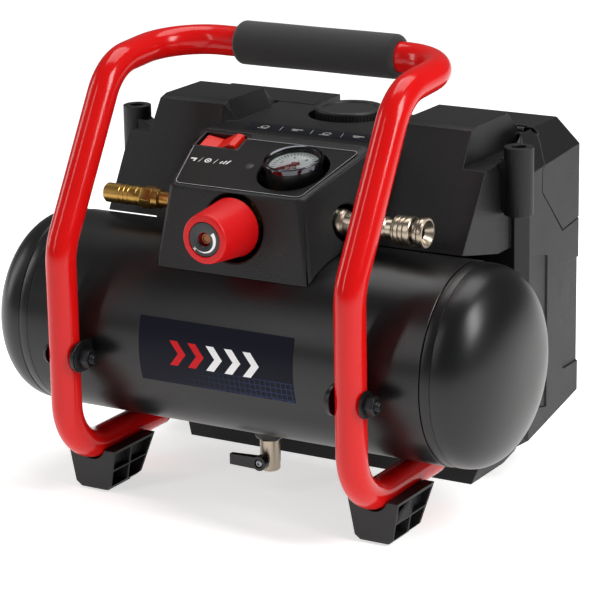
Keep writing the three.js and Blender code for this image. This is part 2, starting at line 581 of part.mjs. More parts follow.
function addOutlets() {
  const at = (x) => [x, OUTLET.y, OUTLET.z];
  const regulatorY = KNOB.y + KNOB.length + RUN + 30;
  const pipe = join(
    rod(MANIFOLD.radius, 2 * MANIFOLD.half, 'x', at(-MANIFOLD.half), 24),
    rod(7, OUTLET.y - regulatorY - GAP, '-y', [0, OUTLET.y, KNOB.z], 16),
  );
  const airway = rod(4, 2 * MANIFOLD.half + 4, 'x', at(-MANIFOLD.half - 2), 16);
  add('outlet_manifold', cut(pipe, airway), ALUMINIUM);

  // Safety valve: nut, waist, hexagon and barrel, with a pin that is pulled outwards.
  const start = -(MANIFOLD.half + GAP);
  const length = -SAFETY.end + start;
  const body = turned([[0, 0], [7.6, 0], [7.6, 12],
    [SAFETY.waist, 13], [SAFETY.waist, 22], [SAFETY.barrel, 23],
    [SAFETY.barrel, length - 1], [SAFETY.barrel - 1, length], [0, length]], 20);
  const union = turned([[0, 1], [SAFETY.union, 1], [SAFETY.union, 13], [0, 13]], 6);
  const hex = turned([[0, 28], [SAFETY.hex, 28], [SAFETY.hex, 38], [0, 38]], 6);
  const pinBore = rod(2.6, 40, 'z', [0, 0, length - 34], 16);
  const pocket = rod(5, 12, 'z', [0, 0, length - 8], 20);
  add('safety_valve_body', placed(cut(join(body, union, hex), pinBore, pocket), '-x', at(start)),
    BRASS);
  const pin = join(rod(2, 30, 'z', [0, 0, length - 30], 12),
    turned([[0, length - 5], [3.8, length - 5], [3.8, length - 1.5], [0, length - 1.5]], 16));
  add('safety_valve_pin', placed(pin, '-x', at(start)), BRASS);

  // Quick coupling: fixed body and a sprung sleeve that slides back to let the plug go.
  const begin = MANIFOLD.half + GAP;
  const bodyLength = COUPLER.end - begin;
  const sleeveAt = COUPLER.bodyEnd - begin;
  const core = turned([[0, 0], [9.6, 0], [9.6, 5], [COUPLER.neck, 7], [COUPLER.neck, sleeveAt - 6],
    [7, sleeveAt - 5], [7, sleeveAt + COUPLER.sleeveLength + 1],
    [9.4, sleeveAt + COUPLER.sleeveLength + 2.5], [10.8, bodyLength - 0.6],
    [10.2, bodyLength], [0, bodyLength]], 24);
  const socket = turned([[0, 6], [COUPLER.bore, 6], [COUPLER.bore, bodyLength - 5],
    [8.6, bodyLength + 0.2], [0, bodyLength + 0.2]], 20);
  const throat = rod(3, 20, 'z', [0, 0, -4], 12);
  add('coupling_body', placed(cut(core, socket, throat), 'x', at(begin)), NICKEL);
  const reach = COUPLER.sleeveLength - RUN;
  const rings = [2, 5.5, 9].flatMap((h) => [[COUPLER.sleeve, h], [COUPLER.sleeve - 1, h + 0.6],
    [COUPLER.sleeve - 1, h + 1.6], [COUPLER.sleeve, h + 2.2]]);
  const sleeve = turned([[7 + RUN, 0], [COUPLER.sleeve - 0.6, 0], ...rings,
    [COUPLER.sleeve, reach], [7 + RUN, reach], [7 + RUN, 0]], 24);
  add('coupling_sleeve', placed(sleeve, 'x', at(COUPLER.bodyEnd + RUN)), NICKEL);
}

// ---- upper case: two shoulders, a saddle between them, side flares and screw columns
function coverPoints(sign, points) {
  return hull(points.map(([x, y, z]) => [sign * x, y, z]));
}

function shoulder(sign, inset) {
  const c = COVER;
  const inner = c.shoulderIn + inset;
  const outer = c.shoulderOut - inset;
  return coverPoints(sign, [
    [inner, c.ridgeY, c.shoulderZ - inset], [outer, c.ridgeY, c.shoulderZ - inset],
    [inner, c.faceY + inset, c.faceZ - inset], [outer, c.faceY + inset, c.faceZ - inset],
    [inner, c.shoulderBack - inset, c.shoulderZ - inset],
    [outer, c.shoulderBack - inset, c.shoulderZ - inset],
    [inner, c.back, REAR.topZ - inset], [outer, c.back, REAR.topZ - inset],
    [c.slopeIn + inset, c.shoulderBack - 10, c.saddleZ - inset],
    [c.slopeIn + inset, c.faceY, c.saddleZ - inset],
    [c.slopeIn, c.footY + inset, c.footZ], [outer + 2, c.footY + inset, c.footZ],
    [c.slopeIn, c.back, c.heelZ], [outer + 2, c.back, c.heelZ],
  ]);
}

function flare(sign, inset) {
  const c = COVER;
  const front = c.faceY - (c.faceZ - c.flareTop) * FACE_SLOPE + inset;
  return coverPoints(sign, [
    [c.flareIn, front, c.flareTop - inset], [c.flareX - inset, front, c.flareTop - inset],
    [c.flareIn, c.back, c.flareTop - inset], [c.flareBackX - inset, c.back, c.flareTop - inset],
    [c.flareIn, c.footY + inset, c.footZ], [c.footOut - inset, c.footY + inset, c.footZ],
    [c.sideX - inset, c.brinkY, c.brinkZ - inset], [c.sideX - inset, c.back, c.brinkZ - inset],
    [c.sideX - inset, c.brinkLowY, c.heelZ], [c.sideX - inset, c.back, c.heelZ],
    [c.flareIn, c.back, c.heelZ],
  ]);
}

function saddle(inset) {
  const c = COVER;
  return mirroredHull([
    [c.slopeIn + 14, c.saddleFront + inset, c.footZ],
    [c.slopeIn + 8, c.saddleFront + inset, c.saddleZ - 3 - inset],
    [c.slopeIn + 8, c.saddleFront + 3 + inset, c.saddleZ - inset],
    [c.slopeIn + 8, c.back, c.saddleZ - inset],
    [c.slopeIn + 14, c.back, c.heelZ],
  ]);
}

function upperBody(inset) {
  return join(saddle(inset), ...SIDES.flatMap(([, sign]) => [shoulder(sign, inset),
    flare(sign, inset)]));
}

function columns(extra) {
  return SIDES.map(([, sign]) => rod(BOSS.radius + extra, BOSS.top - BOSS.bottom + 2 * extra, 'z',
    [sign * BOSS.x, BOSS.y, BOSS.bottom - extra], 24));
}

function columnWebs() {
  return SIDES.map(([, sign]) => coverPoints(sign, [
    [COVER.shoulderOut, BOSS.y - 4, BOSS.top - 22], [COVER.shoulderOut, BOSS.y + 4, BOSS.top - 22],
    [BOSS.x - 4, BOSS.y - 9, BOSS.top - 7], [BOSS.x - 4, BOSS.y + 7, BOSS.top - 7],
    [BOSS.x - 4, BOSS.y - 9, BOSS.bottom + 4], [BOSS.x - 4, BOSS.y + 7, BOSS.bottom + 4],
    [COVER.shoulderOut, BOSS.y - 4, BOSS.bottom], [COVER.shoulderOut, BOSS.y + 4, BOSS.bottom],
  ]));
}

function capWell(radius, floor) {
  return rod(radius, 60, 'z', [0, CAP.y, floor], 28);
}

// The pump cover owns the top and the front of the case; the rear housing owns the rest.
function coverShare(extra) {
  return join(
    box(-200, 200, -60, COVER.seamY + extra, 150, 300),
    box(-COVER.flareBackX - extra, COVER.flareBackX + extra, 0, COVER.back + extra,
      COVER.seamZ - extra, 300),
    capWell(CAP_WELL + CAP.cup + extra, CAP.wellFloor - CAP.cup - extra),
    ...columns(extra),
  );
}

function pumpRoom() {
  return box(-COVER.shoulderOut + 3, COVER.shoulderOut - 3, COVER.saddleFront + COVER.throat - 1,
    COVER.back - 4, 150, COVER.seamZ - 4);
}

function hingeAt(sign, start, length, radius) {
  const x = sign > 0 ? HINGE.x + start : -HINGE.x - start - length;
  return rod(radius, length, 'x', [x, HINGE.y, HINGE.z], 16);
}

function addPumpCover() {
  const cup = capWell(CAP_WELL + CAP.cup, CAP.wellFloor - CAP.cup)
    .intersect(box(-60, 60, 0, 200, 0, COVER.saddleZ));
  const skin = join(cut(upperBody(0), upperBody(COVER.wall)).intersect(coverShare(0)), cup,
    ...columns(0), ...columnWebs());
  const boltBores = SIDES.map(([, sign]) => rod(BOSS.bore, 80, 'z',
    [sign * BOSS.x, BOSS.y, BOSS.bottom + 6], 16));
  const doorway = box(-CONSOLE.backHalf + 6, CONSOLE.backHalf - 6, -40,
    COVER.saddleFront + COVER.throat, 100, CONSOLE.backZ - 16);
  const intake = rod(FILTER.radius - 6, 20, 'z', [0, CAP.y, CAP.wellFloor - 10], 24);
  const lugs = SIDES.flatMap(([, sign]) => [
    hingeAt(sign, GAP, HINGE.width - GAP, HINGE.knuckle),
    box(sign > 0 ? HINGE.x + GAP : -HINGE.x - HINGE.width, sign > 0 ? HINGE.x + HINGE.width
      : -HINGE.x - GAP, COVER.back - 3, HINGE.y, HINGE.z - HINGE.knuckle, HINGE.z - 0.5),
  ]);
  const pins = SIDES.map(([, sign]) => hingeAt(sign, -20, 40, HINGE.pin + GAP));
  add('pump_cover', cut(join(skin, ...lugs), ...boltBores, doorway, intake, pumpRoom(),
    capWell(CAP_WELL, CAP.wellFloor), tankSpace(GAP), consoleBlock(-GAP), ...pins),
    BLACK_PLASTIC);
  for (const [side, sign] of SIDES) {
    add(`lid_hinge_pin_${side}`, hingeAt(sign, -HINGE.width, 2 * HINGE.width - 1, HINGE.pin),
      STEEL);
  }
}

// ---- air filter: round cap dropped in the well, element below it
function addFilter() {
  const bottom = CAP.top - CAP.height;
  const shell = turned([[0, 0], [CAP.radius, 0], [CAP.radius, CAP.height - 1.5],
    [CAP.radius - 1.5, CAP.height], [CAP.radius - 4, CAP.height], [CAP.radius - 5, CAP.height - 1],
    [0, CAP.height - 1]], 28);
  const hollow = rod(CAP.radius - 2.5, CAP.height - 4, 'z', [0, 0, -0.5], 28);
  add('filter_cap', placed(cut(shell, hollow), 'z', [0, CAP.y, bottom]), GREY_PLASTIC);
  add('filter_element', ring(FILTER.radius - 9, FILTER.radius, FILTER.height, 'z',
    [0, CAP.y, CAP.wellFloor + GAP], 32), FOAM);
}

// ---- rear housing: the moulded case behind the tank, standing on its own base
function rearBlock(inset) {
  const r = REAR;
  const chamfer = inset * 0.5;
  return mirroredHull([
    [r.neckHalf - inset, r.neckY + inset, r.bottomFront + 8 + inset],
    [r.neckHalf - inset, r.neckY + inset, COVER.seamZ],
    [r.half - inset, r.frontY + inset, r.bottomFront + 1 + inset],
    [r.half - inset, r.frontY + inset, r.sideTop - 6 - chamfer],
    [r.half - inset, r.back - inset, r.bottomBack + inset],
    [r.half - inset, r.back - inset, r.sideTop - chamfer],
    [r.topHalf - chamfer, r.back - inset, r.topZ - inset],
    [r.topHalf - chamfer, LID.front - 20, r.topZ - inset],
    [r.half - 14 - inset, r.frontY, r.bottomFront - 8 + inset],
    [r.half - 14 - inset, r.back - 16 - inset, r.bottomBack - 14 + inset],
  ]);
}

function rearBase(inset) {
  const r = REAR;
  return mirroredHull([
    [r.baseHalf - inset, r.baseFront + inset, 0], [r.baseHalf - inset, r.baseBack - 20, 0],
    [r.baseHalf + 14 - inset, r.baseFront + 8 + inset, r.bottomFront + 4],
    [r.baseHalf + 14 - inset, r.back - 8 - inset, r.bottomFront + 12],
    [r.baseHalf - inset, r.baseBack - inset, 4],
  ]);
}

function lidRegion(extra) {
  const g = extra;
  const outline = [
    [LID.front - g, REAR.topZ + 20], [LID.front - g, HINGE.z],
    [LID.hipY - g, LID.hipTop], [LID.hipY - g, LID.hipLow - g],
    [LID.tipY - g, LID.tipZ - 1.5 * g], [REAR.back + 20, LID.backZ - g],
    [REAR.back + 20, REAR.topZ + 20],
  ];
  return sidePrism(outline, -220, 220);
}

const PANEL = { depth: 1.2, front: [[60, 66], [70, 56], [87, 52], [87, 167], [60, 173]],
  back: [[113, 76], [116, 73], [150, 73], [150, 153], [122, 153], [113, 143]] };

function recessedPanels() {
  return SIDES.flatMap(([, sign]) => {
    const x0 = sign > 0 ? REAR.half - PANEL.depth : -REAR.half - 5;
    const x1 = sign > 0 ? REAR.half + 5 : -REAR.half + PANEL.depth;
    return [sidePrism(PANEL.front, x0, x1), sidePrism(PANEL.back, x0, x1)];
  });
}

function addRearHousing() {
  const outer = join(rearBlock(0), rearBase(0), upperBody(0));
  const hollow = join(rearBlock(REAR.wall), upperBody(COVER.wall));
  const cheeks = SIDES.map(([, sign]) => {
    const start = COVER.flareBackX + GAP;
    return box(Math.min(sign * start, sign * (start + REAR.wall)),
      Math.max(sign * start, sign * (start + REAR.wall)), COVER.seamY + GAP, LID.front,
      COVER.seamZ - 6, REAR.topZ).intersect(rearBlock(0));
  });
  const bayMouth = box(-REAR.topHalf + 8, REAR.topHalf - 8, LID.front - 1, REAR.back - 6,
    LID.backZ - 16, 300);
  const feet = mirroredHull([
    [REAR.baseHalf - 4, REAR.baseFront + 14, -5], [REAR.baseHalf - 4, REAR.baseBack - 26, -5],
    [REAR.baseHalf - 4, REAR.baseFront + 14, 22], [REAR.baseHalf - 4, REAR.baseBack - 26, 22],
  ]);
  const sockets = SIDES.map(([, sign]) => box(Math.min(sign * COVER.flareBackX, sign * 190),
    Math.max(sign * COVER.flareBackX, sign * 190), 20, BOSS.y + BOSS.radius + 1, BOSS.bottom - 2,
    270));
  const hingeGroove = box(-200, 200, COVER.back, LID.front, HINGE.z - HINGE.knuckle - 2, 300);
  const rail = SIDES.map(([, sign]) => rod(TUBE.radius + 2, 60, 'y',
    [sign * FRAME.x, FRAME.railEnd - 40, FRAME.railZ], 16));
  add('rear_housing', cut(join(cut(outer, hollow), ...cheeks), coverShare(GAP),
    lidRegion(LID.clearance), bayMouth, feet, hingeGroove, pumpRoom(), ...recessedPanels(),
    ...sockets, tankSpace(2), ...rail),
    GREY_PLASTIC);
}

function addBatteryLid() {
  const skin = cut(rearBlock(0), rearBlock(LID.wall)).intersect(lidRegion(0));
  const notch = box(-LID.notchHalf, LID.notchHalf, LID.front - 5, REAR.back + 5, LID.notchZ, 300);
  const tray = cut(box(-LID.notchHalf - 2, LID.notchHalf + 2, LID.front, REAR.back - 0.5,
    LID.notchZ - 2.4, REAR.topZ - 1), notch);
  const knuckles = SIDES.map(([, sign]) => hingeAt(sign, -HINGE.width, HINGE.width - GAP,
    HINGE.knuckle));
  const slots = SIDES.map(([, sign]) => box(sign > 0 ? HINGE.x - GAP : -HINGE.x - HINGE.width
    - RUN, sign > 0 ? HINGE.x + HINGE.width + RUN : -HINGE.x + GAP, LID.front - 10,
    HINGE.y + HINGE.knuckle + 1.5, 200, 300));
  const pins = SIDES.map(([, sign]) => hingeAt(sign, -20, 40, HINGE.pin + GAP));
  const roof = cut(join(skin, tray), notch, capWell(CAP_WELL + CAP.cup + 2, 200), ...slots);
  add('battery_lid', cut(join(roof, ...knuckles), ...pins), GREY_PLASTIC);
}

// ---- batteries in their dock
function addBatteries() {
  const half = PACK.x + PACK.width / 2 + GAP;
  const front = PACK.y - PACK.thick / 2 - GAP;
  const back = PACK.y + PACK.thick / 2 + GAP;
  const tray = box(-half - DOCK.wall, half + DOCK.wall, front - DOCK.wall, back, DOCK.floor,
    DOCK.top);
  const wells = SIDES.map(([, sign]) => box(sign * PACK.x - PACK.width / 2 - GAP,
    sign * PACK.x + PACK.width / 2 + GAP, front, back + 5, PACK.bottom - GAP, 400));
  const core = box(-PACK.x + PACK.width / 2 + 4, PACK.x - PACK.width / 2 - 4, front, back + 5,
    DOCK.floor - 5, DOCK.top + 5);
  add('battery_dock', cut(tray, ...wells, core), BLACK_PLASTIC);
  for (const [side, sign] of SIDES) {
    const x = sign * PACK.x;
    const [x0, x1] = [x - PACK.width / 2, x + PACK.width / 2];
    const [y0, y1] = [PACK.y - PACK.thick / 2, PACK.y + PACK.thick / 2];
    const body = hull([[x0, y0, PACK.bottom], [x1, y0, PACK.bottom], [x0, y1, PACK.bottom],
      [x1, y1, PACK.bottom], [x0, y0, PACK.bottom + PACK.height - 6],
      [x1, y0, PACK.bottom + PACK.height - 6], [x0, y1, PACK.bottom + PACK.height - 6],
      [x1, y1, PACK.bottom + PACK.height - 6],
      [x0 + 6, y0 + 4, PACK.bottom + PACK.height], [x1 - 6, y0 + 4, PACK.bottom + PACK.height],
      [x0 + 6, y1 - 4, PACK.bottom + PACK.height], [x1 - 6, y1 - 4, PACK.bottom + PACK.height]]);
    add(`battery_pack_${side}`, body, BLACK_PLASTIC);
  }
}

// ---- pump: deck on the tank, motor, fan, crank, piston, cylinder, head and pipe
function addPump() {
  const axis = (x) => [x, MOTOR.y, MOTOR.z];
  const plate = box(-DECK.half, DECK.half, DECK.front, DECK.back, DECK.z, DECK.z + DECK.thick);
  const gussets = [-80, 80].map((x) => sidePrism([[DECK.front, DECK.z + 1],
    [46, DECK.z + 1], [27.4, 150]], x - 1.5, x + 1.5));
  add('pump_deck', cut(join(plate, ...gussets), tankSpace(GAP)), DARK_STEEL);

  const can = turned([[0, 0], [11, 0], [11, 3], [MOTOR.radius, 3],
    [MOTOR.radius, MOTOR.right - MOTOR.left], [0, MOTOR.right - MOTOR.left]], 28);
  const shaftWay = rod(MOTOR.shaft + RUN, 200, 'z', [0, 0, -50], 16);
  add('motor', placed(cut(can, shaftWay), 'x', axis(MOTOR.left)), STEEL);
  add('motor_shaft', rod(MOTOR.shaft, CRANK.x + CRANK.thick - 1 - FAN.x + 4, 'x',
    axis(FAN.x - 4), 16), STEEL);

  const hub = ring(MOTOR.shaft + GAP, FAN.hub, FAN.thick, 'x', axis(FAN.x), 20);
  const blades = [];
  for (let i = 0; i < FAN.blades; i += 1) {
    const blade = box(-0.9, 0.9, FAN.hub - 1, FAN.radius, -FAN.thick / 2, FAN.thick / 2)
      .rotate([0, 32, 0]).translate([0, 0, FAN.thick / 2]);
    blades.push(placed(blade.rotate([0, 0, (360 * i) / FAN.blades]), 'x', axis(FAN.x)));
  }
  const rim = box(FAN.x, FAN.x + FAN.thick, MOTOR.y - 40, MOTOR.y + 40, 150, 260);
  add('cooling_fan', join(hub, ...blades).intersect(rim), BLACK_PLASTIC);

  const disc = cut(join(rod(CRANK.disc, CRANK.thick, 'x', axis(CRANK.x), 28),
    rod(CRANK.pin, CRANK.thick + CRANK.pinLength, 'x', [CRANK.x, MOTOR.y, MOTOR.z + CRANK.throw],
      16)), rod(MOTOR.shaft + GAP, CRANK.thick, 'x', axis(CRANK.x - 1), 16));
  add('crank_disc', disc, STEEL);

  // The rod's eye stands just beyond the end of the crank pin, in line with it at the top.
  const eyeX = CRANK.x + CRANK.thick + CRANK.pinLength + RUN;
  const eyeZ = MOTOR.z + CRANK.throw;
  const rodWide = 6;
  const crown = CYL.top - 2;
  const eye = rod(6, rodWide, 'x', [eyeX, MOTOR.y, eyeZ], 20);
  const link = box(eyeX, eyeX + rodWide, MOTOR.y - 3, MOTOR.y + 3, eyeZ, crown - 2);
  const bush = rod(CRANK.pin + GAP, rodWide + 2, 'x', [eyeX - 1, MOTOR.y, eyeZ], 16);
  const piston = rod(CYL.bore - RUN, 4, 'z', [CYL.x, MOTOR.y, crown - 4], 28);
  add('piston', cut(join(eye, link, piston), bush), ALUMINIUM);

  const w = CASE.wall;
  const house = cut(
    box(CASE.x0, CASE.x1, MOTOR.y - CASE.half, MOTOR.y + CASE.half, CASE.bottom, CASE.top),
    box(CASE.x0 + w, CASE.x1 - w, MOTOR.y - CASE.half + w, MOTOR.y + CASE.half - w,
      CASE.bottom + w, CASE.top - 4),
    rod(CYL.bore, 20, 'z', [CYL.x, MOTOR.y, CASE.top - 10], 28),
    rod(MOTOR.shaft + RUN, 10, 'x', axis(CASE.x0 - 2), 16),
  );
  add('crankcase', house, ALUMINIUM);
  const sleeve = turned([[CYL.bore, 0], [CYL.bore + CYL.wall + 2, 0],
    [CYL.bore + CYL.wall + 2, 2], [CYL.bore + CYL.wall, 2],
    [CYL.bore + CYL.wall, CYL.top - CASE.top - GAP], [CYL.bore, CYL.top - CASE.top - GAP],
    [CYL.bore, 0]], 28);
  add('pump_cylinder', placed(sleeve, 'z', [CYL.x, MOTOR.y, CASE.top + GAP]), ALUMINIUM);
  const fins = [0, 1, 2].map((i) => box(CYL.x - 17, CYL.x + 17, MOTOR.y - 17, MOTOR.y + 17,
    CYL.top + GAP + 4 * i, CYL.top + GAP + 4 * i + 2));
  const head = join(rod(15, CYL.headTop - CYL.top - GAP - 1, 'z',
    [CYL.x, MOTOR.y, CYL.top + GAP], 24), ...fins);
  add('cylinder_head', head, ALUMINIUM);

  const portZ = CYL.top + 5;
  const route = new BentPath([[CYL.x, MOTOR.y - 17 - GAP, portZ], [CYL.x, PIPE.y, portZ],
    [CYL.x, PIPE.y, CHECK.port], [CHECK.x + 17, CHECK.y, CHECK.port],
    [CHECK.x + CHECK.radius + GAP, CHECK.y, CHECK.port]], [5, 8, 8], 3);
  const pipe = sweep(route, PIPE.radius, route.steps, 10);
  add('discharge_pipe', pipe, ALUMINIUM);
  const valve = turned([[0, 0], [CHECK.radius - 1.6, 0], [CHECK.radius - 1.6, 7],
    [CHECK.radius, 7.5], [CHECK.radius, CHECK.top - CHECK.bottom], [0, CHECK.top - CHECK.bottom]],
    20);
  const seat = rod(2.6, 16, 'z', [0, 0, -1], 12);
  add('check_valve', placed(cut(valve, seat), 'z', [CHECK.x, CHECK.y, CHECK.bottom]), BRASS);
  add('control_board', box(-52, 18, 83, 84.8, 192, 226), BOARD);
}

const parts = [addTank, addFrame, addDrain, addConsole, addSwitch, addRegulator, addGauge,
  addOutlets, addPumpCover, addFilter, addRearHousing, addBatteryLid, addBatteries, addPump];
for (const build of parts) build();

export default compressor;
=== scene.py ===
"""Dresses the portable air compressor: fine surfaces, finishes, studio and camera.

Lengths in the classes are millimetres and angles are degrees, unless a name says otherwise.
The machine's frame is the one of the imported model: +Z up, -Y the front, +X along the tank.
"""
import json
import logging
import math
from dataclasses import dataclass
from enum import Enum
from typing import Callable, Iterable, Optional, Sequence

import bpy
from mathutils import Matrix, Vector

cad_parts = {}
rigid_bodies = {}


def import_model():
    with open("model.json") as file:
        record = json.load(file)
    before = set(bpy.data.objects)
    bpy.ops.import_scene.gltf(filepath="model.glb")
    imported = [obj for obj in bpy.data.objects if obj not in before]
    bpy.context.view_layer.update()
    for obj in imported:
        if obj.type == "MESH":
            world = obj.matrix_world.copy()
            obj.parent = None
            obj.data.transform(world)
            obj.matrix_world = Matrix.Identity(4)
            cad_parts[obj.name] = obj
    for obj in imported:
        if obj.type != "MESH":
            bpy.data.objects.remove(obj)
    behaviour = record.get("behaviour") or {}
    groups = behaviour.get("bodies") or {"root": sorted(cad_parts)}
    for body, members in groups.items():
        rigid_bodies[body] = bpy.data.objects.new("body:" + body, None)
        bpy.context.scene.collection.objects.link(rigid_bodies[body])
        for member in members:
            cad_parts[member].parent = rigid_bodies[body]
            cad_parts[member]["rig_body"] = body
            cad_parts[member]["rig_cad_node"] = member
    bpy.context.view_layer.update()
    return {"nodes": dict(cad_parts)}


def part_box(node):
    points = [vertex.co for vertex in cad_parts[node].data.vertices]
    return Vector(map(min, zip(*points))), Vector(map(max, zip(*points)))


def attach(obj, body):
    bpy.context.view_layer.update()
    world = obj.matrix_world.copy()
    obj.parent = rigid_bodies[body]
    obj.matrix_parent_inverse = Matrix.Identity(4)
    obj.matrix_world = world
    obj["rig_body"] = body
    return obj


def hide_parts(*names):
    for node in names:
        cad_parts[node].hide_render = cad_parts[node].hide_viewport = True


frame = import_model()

LOG = logging.getLogger("air_compressor")
MM = 0.001
SIDES = (("left", -1), ("right", 1))
WELD = 0.003 * MM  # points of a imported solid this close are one
TURNED_WELD = 0.002 * MM  # points of a turned or bent piece this close are one
SLIVER = 0.002 * MM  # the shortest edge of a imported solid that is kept
TURNED_SLIVER = 0.0005 * MM  # the shortest edge of a turned piece that is kept
COPLANAR = math.radians(0.6)  # faces this near to flat are one face
FINE_EDGE = math.radians(35)  # the smallest angle of a turned piece that counts as an edge
Outline = Sequence[tuple[float, float]]


# ---------------------------------------------------------------- finishes
def linear(hex_colour: str) -> tuple[float, float, float, float]:
    """Turns an sRGB hex colour into the linear colour that a shader socket takes.

    Args:
        hex_colour: Six hex digits, such as "c40f16".

    Returns:
        Red, green, blue and an alpha of 1.
    """
    values = [int(hex_colour[i:i + 2], 16) / 255 for i in (0, 2, 4)]
    curved = [v / 12.92 if v <= 0.04045 else ((v + 0.055) / 1.055) ** 2.4 for v in values]
    return (curved[0], curved[1], curved[2], 1.0)


def node(tree: bpy.types.NodeTree, kind: str, settings: Optional[dict] = None,
         links: Optional[dict] = None) -> bpy.types.Node:
    """Adds a shader node with its settings and its incoming links.

    Args:
        tree: The material's node tree.
        kind: The node's type, such as "ShaderNodeTexNoise".
        settings: Attribute names, or input names and numbers, with their values.
        links: Input names or numbers, with the output socket that feeds each.

    Returns:
        The new node.
    """
    new = tree.nodes.new(kind)
    for key, value in (settings or {}).items():
        if isinstance(key, str) and hasattr(new, key):
            setattr(new, key, value)
        else:
            new.inputs[key].default_value = value
    for key, socket in (links or {}).items():
        tree.links.new(socket, new.inputs[key])
    return new


def summed(tree: bpy.types.NodeTree, kind: str, first: object, second: object = 0.0,
           third: object = 0.0) -> bpy.types.NodeSocket:
    """Adds one sum to a material.

    Args:
        tree: The material's node tree.
        kind: The operation.
        first: A socket or a number.
        second: A socket or a number.
        third: A socket or a number.

    Returns:
        The socket with the result.
    """
    values = dict(enumerate((first, second, third)))
    sockets = {k: v for k, v in values.items() if isinstance(v, bpy.types.NodeSocket)}
    numbers = {k: v for k, v in values.items() if k not in sockets}
    return node(tree, "ShaderNodeMath", {"operation": kind, **numbers}, sockets).outputs[0]


@dataclass(frozen=True)
class Finish:
    """A surface as it is made: its colour, gloss, grain and small unevenness.

    Attributes:
        name: The material's name, after what it is and how it is made.
        colour: Its sRGB colour.
        tone: The sRGB colour that it wanders to in broad patches.
        roughness: Its mean roughness.
        metallic: 1 for a bare metal.
        coat: The weight of a clear layer on top.
        grain: The size of its grain.
        depth: The height of its grain.
        wave: The size of its broad unevenness, such as orange peel.
        wave_depth: The height of its broad unevenness.
        gloss_drift: How far roughness wanders about its mean.
        sheen: The weight of the soft edge light of foam.
        specular: How strongly its surface mirrors, 0.5 being plain plastic.
        glow: The light that it gives off itself, as a lit studio floor does.
    """

    name: str
    colour: str
    tone: str
    roughness: float
    metallic: float = 0.0
    coat: float = 0.0
    grain: float = 0.6
    depth: float = 0.02
    wave: float = 4.0
    wave_depth: float = 0.0
    gloss_drift: float = 0.06
    sheen: float = 0.0
    specular: float = 0.5
    glow: float = 0.0

    def begin(self) -> tuple[bpy.types.Material, bpy.types.NodeTree, bpy.types.Node,
                             bpy.types.Node]:
        """Makes the bare material.

        Returns:
            The material, its node tree, its shader and its coordinate node.
        """
        material = bpy.data.materials.new(self.name)
        material.use_nodes = True
        tree = material.node_tree
        tree.nodes.clear()
        shader = node(tree, "ShaderNodeBsdfPrincipled", {
            "Metallic": self.metallic, "Coat Weight": self.coat, "Coat Roughness": 0.1,
            "Sheen Weight": self.sheen, "Specular IOR Level": self.specular,
            "Emission Color": (1.0, 0.995, 0.99, 1.0), "Emission Strength": self.glow})
        node(tree, "ShaderNodeOutputMaterial", links={"Surface": shader.outputs["BSDF"]})
        place = node(tree, "ShaderNodeTexCoord")
        return material, tree, shader, place

    def relief(self, tree: bpy.types.NodeTree, place: bpy.types.Node) -> bpy.types.NodeSocket:
        """Adds the fine grain, and the broad unevenness under it.

        Args:
            tree: The material's node tree.
            place: Its coordinate node.

        Returns:
            The socket of the bent normal.
        """
        fine = node(tree, "ShaderNodeTexNoise", {"Scale": 1 / (self.grain * MM), "Detail": 2.0},
                    {"Vector": place.outputs["Object"]})
        bump = node(tree, "ShaderNodeBump", {"Strength": 1.0, "Distance": self.depth * MM},
                    {"Height": fine.outputs["Fac"]})
        if self.wave_depth:
            broad = node(tree, "ShaderNodeTexNoise", {"Scale": 1 / (self.wave * MM), "Detail": 1.0},
                         {"Vector": place.outputs["Object"]})
            bump = node(tree, "ShaderNodeBump",
                        {"Strength": 1.0, "Distance": self.wave_depth * MM},
                        {"Height": broad.outputs["Fac"], "Normal": bump.outputs["Normal"]})
        return bump.outputs["Normal"]

    def build(self) -> bpy.types.Material:
        """Makes the material.

        Returns:
            The material, with its colour, gloss and relief.
        """
        material, tree, shader, place = self.begin()
        drift = node(tree, "ShaderNodeTexNoise", {"Scale": 28.0, "Detail": 3.0},
                     {"Vector": place.outputs["Object"]})
        colour = node(tree, "ShaderNodeMix", {"data_type": "RGBA", 6: linear(self.colour),
                                              7: linear(self.tone)}, {0: drift.outputs["Fac"]})
        gloss = node(tree, "ShaderNodeMapRange",
                     {"To Min": max(self.roughness - self.gloss_drift, 0.02),
                      "To Max": self.roughness + self.gloss_drift},
                     {"Value": drift.outputs["Fac"]})
        tree.links.new(colour.outputs[2], shader.inputs["Base Color"])
        tree.links.new(gloss.outputs["Result"], shader.inputs["Roughness"])
        tree.links.new(self.relief(tree, place), shader.inputs["Normal"])
        return material


